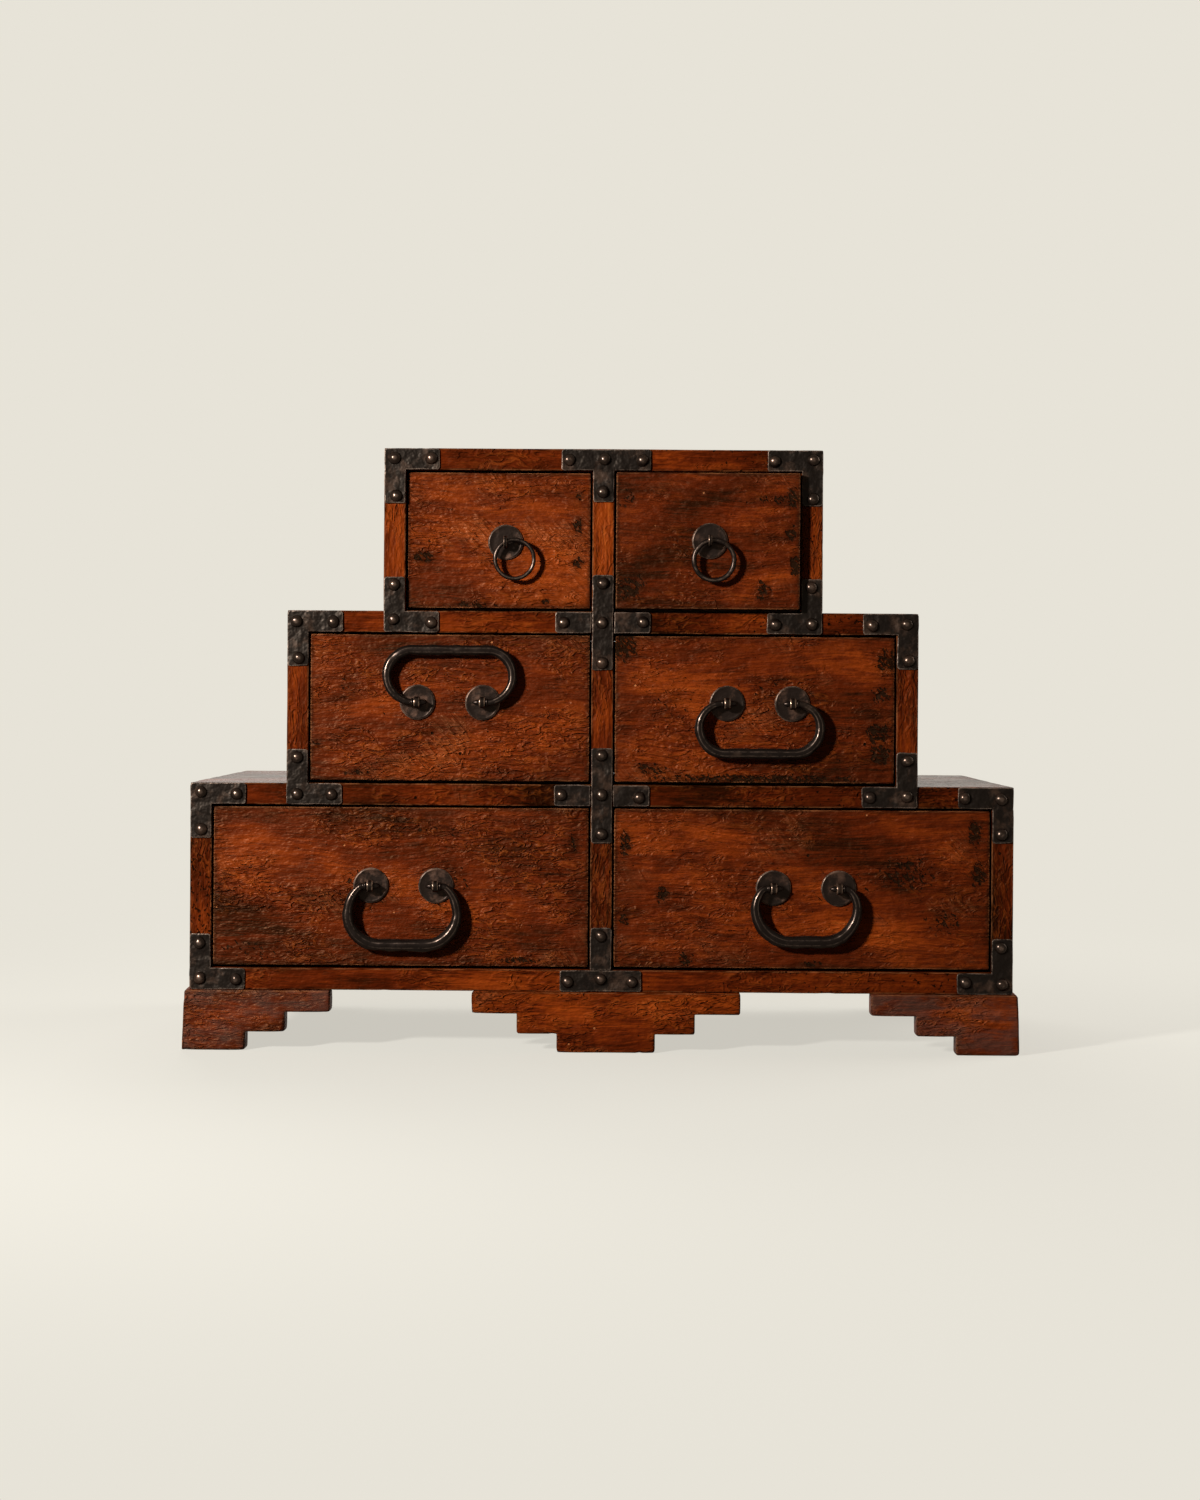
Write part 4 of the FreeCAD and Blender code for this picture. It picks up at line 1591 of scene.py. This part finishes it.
@dataclass
class Pull:
    """A ring or a bail with its eye pins and rosettes.

    Attributes:
        drawer: name of the drawer that it pulls.
        form: its shape.
        seed: of its unevenness.
        spacing: between the two eyes of a bail.
        bail_eye, ring_eye: width of an eye.
        strip: thickness of the iron around an eye.
        neck: between an eye and its rosette.
        leg: thickness of each leg of a pin.
        clench: how far the legs are bent apart behind the front.
        rosette, plate: radius and thickness of a rosette.
        pintle, play, collar, collar_length: the round end of a bail.
        run, point, tip: the pintle past its eye, the length of its point and the radius of its tip.
        thin: thickness of a bail beside its collar.
        bend: radius of the bend there.
        face, inside: where the two faces of the drawer front are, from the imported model.
    """

    drawer: str
    form: BailForm | RingForm
    seed: int
    spacing: float = 47.5
    bail_eye: float = 4.5
    ring_eye: float = 2.6
    strip: float = 2.0
    neck: float = 1.0
    leg: float = 1.8
    clench: float = 12.0
    rosette: float = 13.0
    plate: float = 1.2
    pintle: float = 2.0
    play: float = 0.4
    collar: float = 3.1
    collar_length: float = 1.6
    run: float = 1.5
    point: float = 3.5
    tip: float = 0.5
    thin: float = 4.8
    bend: float = 6.0
    face: float = field(init=False)
    inside: float = field(init=False)

    SQUARENESS = 0.45  # power that draws the section of a pin out towards a square
    FLAT = 18.5  # degrees from the middle of a flat of a bail to the start of its arris
    REST_GAP = 0.3  # between a raised bail and its drawer front

    def build(self, frame: dict[str, Any], irons: PullIrons) -> None:
        """Builds the pull where its hinge is.

        Args:
            frame: the loaded model.
            irons: the finishes of its pieces.
        """
        joint = next(j for j in frame["joints"] if j["name"] == self.drawer + "_swing")
        axis = Vector(joint["pos_m"]) * MILLIMETRES
        low, high = place_of(self.drawer + "_front")
        self.face, self.inside = low[1], high[1]
        is_bail = isinstance(self.form, BailForm)
        eyes = [axis.x - self.spacing / 2, axis.x + self.spacing / 2] if is_bail else [axis.x]
        reach = self.face - axis.y
        bore = reach - self.plate - self.neck - self.strip
        width = self.bail_eye if is_bail else self.ring_eye
        rosettes, pins = [], []
        for number, x in enumerate(eyes):
            seat = Matrix.Translation(Vector((x, self.face, axis.z)))
            rosettes.append(self._rosette(number).moved(seat))
            eye = Matrix.Translation(Vector((x, axis.y, axis.z)))
            pins.append(self._pin(bore, width, reach).moved(eye))
        body = self.drawer + "_drawer"
        role = Role(body, (self.drawer + "_rosettes",), "pull_iron")
        show("rosettes_" + self.drawer, Shell.join(rosettes), role, irons.rosettes)
        role = Role(body, (self.drawer + "_pins",), "pull_iron")
        show("pins_" + self.drawer, Shell.join(pins), role, irons.pins)
        handle = self._bail(reach) if is_bail else self._ring()
        node = self.drawer + ("_bail" if is_bail else "_ring")
        role = Role(self.drawer + "_pull", (node,), "pull_iron")
        show("handle_" + self.drawer, handle.moved(Matrix.Translation(axis)), role, irons.handles)

    def _rosette(self, number: int) -> Shell:
        """A beaten disc with a bevelled rim and a faint groove inside it.

        Args:
            number: 0 or 1, of the eye that it sits under.

        Returns:
            The skin of the disc, with its back at the origin.
        """
        r, t = self.rosette, self.plate
        profile = [(r * 0.99, -0.3), (r, 0.1), (r, t * 0.5), (r - 0.6, t), (r - 1.2, t * 1.2)]
        profile += [(r - 1.9, t * 1.05), (r - 2.5, t * 0.92), (r * 0.62, t), (r * 0.4, t * 1.1)]
        profile.append((r * 0.15, t * 1.05))
        return lathe(profile, 44, 0.012, self.seed + 5 * number)

    def _pin(self, bore: float, width: float, reach: float) -> Shell:
        """A strip bent double: an eye in front, two legs through the front, bent apart behind it.

        Args:
            bore: radius inside the eye.
            width: of the strip.
            reach: from the drawer's face to the middle of the eye.

        Returns:
            The skin of the pin, with the middle of its eye at the origin.
        """

        def squared(measure: float) -> float:
            """A measure of a circle, drawn out towards a square."""
            return math.copysign(abs(measure) ** self.SQUARENESS, measure)

        middle = bore + self.strip / 2
        back = reach + (self.inside - self.face) + self.leg / 2
        half = self.leg / 2
        start = math.asin(half / middle) + 0.2
        turns = np.linspace(start, 2 * math.pi - start, 28)
        loop = [(middle * math.cos(t), middle * math.sin(t)) for t in turns]
        line = [(back, self.clench), (back, half), (middle + self.neck, half), *loop]
        line += [(middle + self.neck, -half), (back, -half), (back, -self.clench)]
        path = np.array(line)
        for _ in range(2):
            cut = np.stack([path[:-1] * 0.75 + path[1:] * 0.25, path[:-1] * 0.25 + path[1:] * 0.75], 1)
            path = np.concatenate([path[:1], cut.reshape(-1, 2), path[-1:]])
        along = np.gradient(path, axis=0)
        along /= np.linalg.norm(along, axis=1, keepdims=True)
        angles = np.linspace(0, 2 * math.pi, 16, endpoint=False)
        square = [(squared(math.cos(a)), squared(math.sin(a))) for a in angles]
        rings = []
        for (y, z), (ty, tz) in zip(path, along):
            for n, w in square:
                rings.append((-w * width / 2, y - tz * n * half, z + ty * n * half))
        points = np.array(rings)
        edge = np.tile([1.6 * abs(abs(math.sin(a)) - 0.75) for a in angles], len(path))
        return Shell(points, tube_faces(len(path), len(angles), False), edge, np.zeros(len(points)))

    def _half_line(self, form: BailForm) -> np.ndarray:
        """Half of a bail, from the tip of its pintle to the middle of its bar.

        Args:
            form: the shape of the bail.

        Returns:
            For each station: its place outwards and downwards, its heading from 0 for outwards to a
            half turn for back inwards, its half thickness, and how round it is from 0 to 1.
        """
        inner, outer = self.spacing / 2 - self.bail_eye / 2, self.spacing / 2 + self.bail_eye / 2
        pin, shoulder = inner - self.run, outer + self.play
        start = shoulder + self.collar_length
        p, c = self.pintle, self.collar
        ends = [(pin - self.point, self.tip), (pin - self.point * 0.6, p * 0.62)]
        ends += [(pin - self.point * 0.2, p * 0.93), (pin, p), (inner, p), (outer, p)]
        ends += [(shoulder - 0.05, p), (shoulder, c * 0.9), (shoulder + 0.3, c)]
        ends += [(start - 0.4, c), (start - 0.05, c * 0.88)]
        rows = [(x, 0.0, 0.0, r, 1.0) for x, r in ends]
        line = [(start, 0.0, 0.0)]
        first = math.radians(form.lead)
        for bend, heading in enumerate((first, math.pi / 2, math.pi)):
            x0, z0, h0 = line[-1]
            widening = (form.half_width - x0) / (1 - math.sin(first))
            radius = (self.bend, widening, form.drop - z0)[bend]
            count = max(4, math.ceil(radius * (heading - h0) / 1.3))
            for h in np.linspace(h0, heading, count + 1)[1:]:
                x = x0 + radius * (math.sin(h) - math.sin(h0))
                z = z0 + radius * (math.cos(h0) - math.cos(h))
                line.append((x, z, h))
        x0, z0, h0 = line[-1]
        line += [(x, z0, h0) for x in np.linspace(x0, 0, max(4, math.ceil(x0 / 1.6)) + 1)[1:]]
        runs = np.concatenate([[0], np.cumsum([math.dist(a[:2], b[:2]) for a, b in zip(line, line[1:])])])
        for (x, z, h), run in zip(line, runs / runs[-1]):
            half = (self.thin + (form.bar - self.thin) * math.sin(math.pi / 2 * min(1.0, 1.5 * run))) / 2
            rows.append((x, z, h, half, max(0.0, 1 - run * 12)))
        return np.array(rows)

    def _bail(self, reach: float) -> Shell:
        """A drop handle forged to eight flats, with its pintles on the X axis.

        Args:
            reach: from the drawer's face to the pintles.

        Returns:
            The skin of the bail.
        """
        form = self.form
        half = self._half_line(form)
        flat = np.tile(np.radians([-self.FLAT, 0.0, self.FLAT]), 8)
        angles = np.repeat(np.arange(8) * math.pi / 4, 3) + flat
        eight = 1 / np.cos(flat)
        rough = Unevenness(self.seed)
        rings, edges = [], []
        for side, rows in ((1, half), (-1, half[-2::-1])):
            for x, z, heading, size, roundness in rows:
                out = np.array([side * math.sin(heading), 0, math.cos(heading)])
                spread = size * (roundness + (1 - roundness) * eight)
                ring = np.outer(np.cos(angles) * spread, out) + np.outer(np.sin(angles) * spread, [0, 1, 0])
                rings.append(ring + [side * x, 0, -z])
                edges.append(np.where(roundness < 0.5, (math.pi / 8 - np.abs(flat)) * size, 1.2))
        points = np.concatenate(rings)
        middles = np.repeat([ring.mean(axis=0) for ring in rings], len(angles), axis=0)
        arms = points - middles
        worked = np.clip(np.linalg.norm(arms, axis=1) / self.thin - 0.4, 0, 0.3)
        points = points + arms * (worked * 0.35 * rough.at(points, 7.0, 2))[:, None]
        if form.raised:
            clear = reach - form.bar / 2 - self.REST_GAP
            tilt = math.pi - math.asin(clear / form.drop)
            turn = np.array(Matrix.Rotation(tilt, 3, "X"))
            points = points @ turn.T
        faces = tube_faces(len(rings), len(angles), False)
        return Shell(points, faces, np.concatenate(edges), np.zeros(len(points)))

    def _ring(self) -> Shell:
        """A round ring hanging from the X axis, settled to one side.

        Returns:
            The skin of the ring.
        """
        form = self.form
        lean = math.radians(form.lean)
        middle = np.array([math.sin(lean), 0, -math.cos(lean)]) * form.radius
        turns = np.linspace(2 * math.pi, 0, 110, endpoint=False)
        angles = np.linspace(0, 2 * math.pi, 16, endpoint=False)
        rings = []
        for turn in turns:
            out = np.array([math.sin(turn), 0, -math.cos(turn)])
            ring = np.outer(np.cos(angles), out) + np.outer(np.sin(angles), [0, 1, 0])
            rings.append(middle + out * form.radius + ring * form.wire)
        points = np.concatenate(rings)
        centres = np.repeat([ring.mean(axis=0) for ring in rings], len(angles), axis=0)
        points += (points - centres) * (0.07 * Unevenness(self.seed).at(points, 5.0, 2))[:, None]
        edge = np.tile(np.abs(np.cos(angles)) * 1.2, len(turns))
        return Shell(points, tube_faces(len(turns), len(angles), True), edge, np.zeros(len(points)))


@dataclass
class Drawer:
    """A drawer: its front, its box and its pull.

    Attributes:
        name: of the drawer.
        seed: of its wear and its grain.
        glow: tone of its front, as StainedWood takes it.
        form: the shape of its pull.
        marks: gouges and stains on its front.
        figure: how strongly the bands of its grain show.
        scuffs_and_highlights: how strongly scratches, ridges and painted highlights show on its front.
        side: thickness of the sides of its box.
    """

    name: str
    seed: int
    glow: float
    form: BailForm | RingForm
    marks: tuple[Mark, ...]
    figure: float = 1.0
    scuffs_and_highlights: float = 1.0
    side: float = 9.0

    GRIME = 4.5  # how far dirt reaches in from the edges of the front
    SIDE_STEPS = (5.0, 12.0, 10.0)  # spacing of the lattice of a box side
    BOX_STEPS = (12.0, 12.0, 12.0)  # of the back and the bottom
    ROUNDING = 0.7  # of the edges of the box boards
    CHIPS = 0.6  # depth of the bites in them
    FACE_DEPTH = 4.0  # how far behind its face a mark still shows

    def build(
        self,
        frame: dict[str, Any],
        box_finish: dict[Grain, bpy.types.Material],
        irons: PullIrons,
    ) -> None:
        """Builds the drawer.

        Args:
            frame: the loaded model.
            box_finish: the finish of the box boards for each way of their grain.
            irons: the finishes of its pull.
        """
        body = self.name + "_drawer"
        finish = StainedWood(
            "stain_" + self.name + "_front",
            Grain.ALONG_X,
            self.seed,
            self.glow,
            self.GRIME,
            self.scuffs_and_highlights,
            self.figure,
        )
        role = Role(body, (self.name + "_front",), "front_wood")
        show("front_" + self.name, self._front(), role, finish.material())
        sides = []
        for number, ends in enumerate(two_sides(self.name + "_sides", self.side), 1):
            board = Board(*ends, self.seed + number, self.SIDE_STEPS, self.ROUNDING, self.CHIPS)
            sides.append(board.shell())
        role = Role(body, (self.name + "_sides",), "box_wood")
        show("sides_" + self.name, Shell.join(sides), role, box_finish[Grain.ALONG_Y])
        for number, (part, grain) in enumerate((("back", Grain.ALONG_X), ("bottom", Grain.LAID)), 3):
            node = self.name + "_" + part
            board = Board(*place_of(node), self.seed + number, self.BOX_STEPS, self.ROUNDING, self.CHIPS)
            show(part + "_" + self.name, board.shell(), Role(body, (node,), "box_wood"), box_finish[grain])
        Pull(self.name, self.form, self.seed + 60).build(frame, irons)

    def _front(self) -> Shell:
        """The front, with its housings for the sides and its marks.

        Returns:
            The skin of the front.
        """
        low, high = place_of(self.name + "_front")
        side_low, side_high = place_of(self.name + "_sides")
        past = self.side
        cuts = []
        for x0, x1 in ((low[0] - past, low[0] + self.side), (high[0] - self.side, high[0] + past)):
            near = np.array([x0, side_low[1], side_low[2]])
            cuts.append((near, np.array([x1, high[1] + past, side_high[2]])))
        shell = Board(low, high, self.seed, (2.8, 6.0, 2.8), 0.7, 0.8, 0.16, cuts).shell()
        size = high - low
        facing = shell.points[:, 1] < low[1] + self.FACE_DEPTH
        for mark in self.marks:
            dx = (shell.points[:, 0] - low[0] - mark.across * size[0]) / (mark.width / 2)
            dz = (shell.points[:, 2] - low[2] - mark.up * size[2]) / (mark.height / 2)
            cover = np.clip(1.5 - np.hypot(dx, dz), 0, 1) * mark.depth * facing
            shell.mark = np.maximum(shell.mark, cover)
        return shell


def drawers() -> list[Drawer]:
    """The six drawers as the photograph shows them.

    Returns:
        The drawers, from the upper left to the lower right.
    """
    upper_left = (
        Mark(0.09, 0.38, 16, 8),
        Mark(0.93, 0.62, 7, 12, 0.9),
        Mark(0.93, 0.34, 9, 9, 0.9),
        Mark(0.94, 0.84, 6, 8, 0.8),
        Mark(0.76, 0.05, 5, 5),
        Mark(0.35, 0.02, 40, 5, 0.6),
        Mark(0.54, 0.42, 40, 40, 0.25),
    )
    upper_right = (
        Mark(0.96, 0.82, 10, 16),
        Mark(0.95, 0.55, 8, 12),
        Mark(0.97, 0.34, 7, 18),
        Mark(0.80, 0.13, 12, 14),
        Mark(0.08, 0.16, 22, 20, 0.75),
        Mark(0.06, 0.80, 16, 14, 0.5),
        Mark(0.86, 0.80, 34, 9, 0.55),
        Mark(0.50, 0.45, 44, 44, 0.25),
    )
    middle_left = (
        Mark(0.13, 0.66, 14, 12, 0.45),
        Mark(0.02, 0.25, 8, 5, 0.7),
        Mark(0.17, 0.05, 20, 4, 0.6),
        Mark(0.50, 0.50, 110, 40, 0.22),
    )
    middle_right = (
        Mark(0.03, 0.93, 18, 22),
        Mark(0.97, 0.83, 14, 20, 0.85),
        Mark(0.95, 0.60, 16, 14, 0.7),
        Mark(0.94, 0.34, 18, 16, 0.85),
        Mark(0.95, 0.20, 16, 16),
        Mark(0.50, 0.03, 150, 6, 0.85),
        Mark(0.13, 0.09, 24, 8, 0.8),
        Mark(0.20, 0.55, 40, 26, 0.3),
        Mark(0.50, 0.55, 100, 36, 0.25),
    )
    lower_left = (
        Mark(0.96, 0.78, 8, 12, 0.8),
        Mark(0.82, 0.04, 30, 5, 0.9),
        Mark(0.40, 0.48, 46, 34, 0.45),
        Mark(0.62, 0.50, 40, 30, 0.4),
        Mark(0.10, 0.10, 60, 14, 0.4),
        Mark(0.60, 0.86, 50, 14, 0.35),
    )
    lower_right = (
        Mark(0.78, 0.60, 44, 26, 0.6),
        Mark(0.96, 0.86, 10, 20, 0.9),
        Mark(0.97, 0.60, 12, 20, 0.85),
        Mark(0.03, 0.78, 8, 20, 0.8),
        Mark(0.13, 0.46, 10, 14, 0.85),
        Mark(0.03, 0.30, 7, 8, 0.9),
        Mark(0.19, 0.05, 9, 10),
        Mark(0.88, 0.30, 30, 20, 0.5),
        Mark(0.53, 0.03, 16, 4, 0.8),
        Mark(0.50, 0.50, 110, 44, 0.25),
    )
    raised = BailForm(45.8, 37.8, 8.0, 7.6, True)
    return [
        Drawer("upper_left", 201, 0.0, RingForm(14.1, 1.5, 28.0), upper_left),
        Drawer("upper_right", 214, -0.06, RingForm(14.5, 1.8, 11.0), upper_right, 1.5, 0.6),
        Drawer("middle_left", 222, -0.01, raised, middle_left, 0.9, 1.25),
        Drawer("middle_right", 231, 0.05, BailForm(43.9, 36.3, 8.0, 7.6), middle_right, 1.2, 0.9),
        Drawer("lower_left", 243, -0.03, BailForm(39.7, 42.8, 45.0, 9.0), lower_left, 0.9, 1.3),
        Drawer("lower_right", 251, -0.06, BailForm(36.8, 38.8, 50.0, 9.0), lower_right, 1.3, 0.7),
    ]


@dataclass
class Studio:
    """The floor, the light and the camera.

    Attributes:
        pale: the colour of the floor and of everything behind.
        lens: focal length of the camera over a 36 mm sensor.
        stand: place of the camera, in millimetres.
        turn: degrees that the camera looks to the left.
        roll: degrees that it is tilted about its own line of sight.
        lowered: how far the picture is shifted under that line, as a share of its height.
        fill: strength of the light from all around.
        key: power of the main lamp.
        bounce: how much light the floor throws back at the chest.
        key_place: of the main lamp and of the one beside it, in millimetres.
        aim: height that the lamps look at, in metres.
        floor: from the middle of the floor to its edge, in metres.
    """

    pale: Colour = paint(231, 227, 216)
    lens: float = 56.77
    stand: tuple[float, float, float] = (11.1, -1843.3, 261.5)
    turn: float = 0.4255
    roll: float = 0.3693
    lowered: float = 0.03774
    fill: float = 0.022
    key: float = 45.0
    bounce: float = 0.05
    key_place: tuple[float, float, float] = (-1150.0, -1330.0, 820.0)
    aim: float = 0.22
    floor: float = 12.0

    FORWARD = ("nails_", "straps_", "rosettes_", "pins_", "handle_", "front_")  # pieces that shine

    def build(self) -> None:
        """Sets up the whole studio."""
        bpy.context.scene.view_settings.view_transform = "Standard"
        self._world()
        self._floor()
        self._lamp("lamp_key", self.key_place, 0.16, self.key)
        self._glint()
        self._lamp("lamp_right", (1500.0, 600.0, 900.0), 1.2, self.key * 0.5)
        self._lamp("lamp_back", (-300.0, 1500.0, 1500.0), 1.2, self.key * 0.55)
        self._camera()

    def _world(self) -> None:
        """Pale surroundings for the camera and for reflections, dimmer ones for light."""
        world = bpy.data.worlds.new("studio")
        world.use_nodes = True
        bpy.context.scene.world = world
        bench = Bench(world.node_tree)
        seen = self._seen(bench)
        strength = self.fill + seen * (1.0 - self.fill)
        background = bench.node("ShaderNodeBackground", None, {"Color": self.pale, "Strength": strength})
        bench.node("ShaderNodeOutputWorld", None, {"Surface": background})

    @staticmethod
    def _seen(bench: Bench) -> Wire:
        """Tells rays that see the surroundings from rays that light the chest.

        Args:
            bench: where the nodes are laid.

        Returns:
            1 for rays of the camera, of reflections and through glass, 0 for the rest.
        """
        path = bench.node("ShaderNodeLightPath", None, None, "Is Camera Ray")
        return path.most(path.beside("Is Glossy Ray")).most(path.beside("Is Transmission Ray"))

    def _floor(self) -> None:
        """A wide pale floor that keeps a soft shadow near the chest and is even further off."""
        mesh = bpy.data.meshes.new("floor")
        corners = [(-1, -1, 0), (1, -1, 0), (1, 1, 0), (-1, 1, 0)]
        mesh.from_pydata([Vector(corner) * self.floor for corner in corners], [], [(0, 1, 2, 3)])
        floor = bpy.data.objects.new("floor", mesh)
        bpy.context.scene.collection.objects.link(floor)
        bench, material = Bench.for_material("floor_paper")
        spot = bench.spot() / (1.0, 1.0, 0.001)
        distance = bench.node("ShaderNodeVectorMath", {"operation": "LENGTH"}, {0: spot}, "Value")
        even = 0.74 + distance.rise(380.0, 1100.0) * 0.26
        seen = self._seen(bench)
        dim = bench.node("ShaderNodeBsdfDiffuse", None, {"Color": (self.bounce,) * 3})
        paper = bench.node("ShaderNodeBsdfDiffuse", None, {"Color": self.pale})
        matt = bench.node("ShaderNodeMixShader", None, {0: seen, 1: dim, 2: paper})
        glow = bench.node("ShaderNodeEmission", None, {"Color": self.pale, "Strength": 1.0})
        shader = bench.node("ShaderNodeMixShader", None, {0: even * seen, 1: matt, 2: glow})
        bench.finish(shader)
        mesh.materials.append(material)

    def _lamp(
        self, name: str, place: tuple[float, float, float], size: float, power: float
    ) -> bpy.types.Object:
        """Hangs one square lamp that looks at the chest.

        Args:
            name: of the lamp.
            place: of the lamp, in millimetres.
            size: of its side, in metres.
            power: in watts.

        Returns:
            The lamp.
        """
        data = bpy.data.lights.new(name, "AREA")
        data.size = size
        data.energy = power
        lamp = bpy.data.objects.new(name, data)
        bpy.context.scene.collection.objects.link(lamp)
        lamp.location = Vector(place) / MILLIMETRES
        aim = Vector((0.0, 0.0, self.aim)) - lamp.location
        lamp.rotation_euler = aim.to_track_quat("-Z", "Y").to_euler()
        return lamp

    def _glint(self) -> None:
        """A lamp beside the main one that only the shine of the iron and the drawer fronts shows."""
        lamp = self._lamp("lamp_glint", self.key_place, 0.2, self.key * 3)
        lamp.visible_diffuse = False
        forward = bpy.data.collections.new("forward_pieces")
        for piece in bpy.context.scene.objects:
            if piece.name.startswith(self.FORWARD):
                forward.objects.link(piece)
        lamp.light_linking.receiver_collection = forward

    def _camera(self) -> None:
        """Stands the camera where the photograph was taken from."""
        data = bpy.data.cameras.new("camera")
        data.lens = self.lens
        data.shift_y = -self.lowered
        camera = bpy.data.objects.new("camera", data)
        bpy.context.scene.collection.objects.link(camera)
        turn = Matrix.Rotation(math.radians(self.turn), 4, "Z")
        level = Matrix.Rotation(math.pi / 2, 4, "X")
        roll = Matrix.Rotation(math.radians(self.roll), 4, "Z")
        camera.matrix_world = Matrix.Translation(Vector(self.stand) / MILLIMETRES) @ turn @ level @ roll
        bpy.context.scene.camera = camera


def main() -> None:
    """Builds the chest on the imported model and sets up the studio."""
    logging.basicConfig(level=logging.INFO, format="%(name)s: %(message)s")
    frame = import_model()
    Carcass().build()
    Feet().build()
    Straps().build()
    irons = PullIrons.forge()
    ways = (Grain.ALONG_X, Grain.ALONG_Y, Grain.LAID)
    box_finish = {grain: BareWood("bare_box_" + grain.name.lower(), grain, 9).material() for grain in ways}
    for drawer in drawers():
        drawer.build(frame, box_finish, irons)
    Studio().build()


if __name__ == "__main__":
    main()
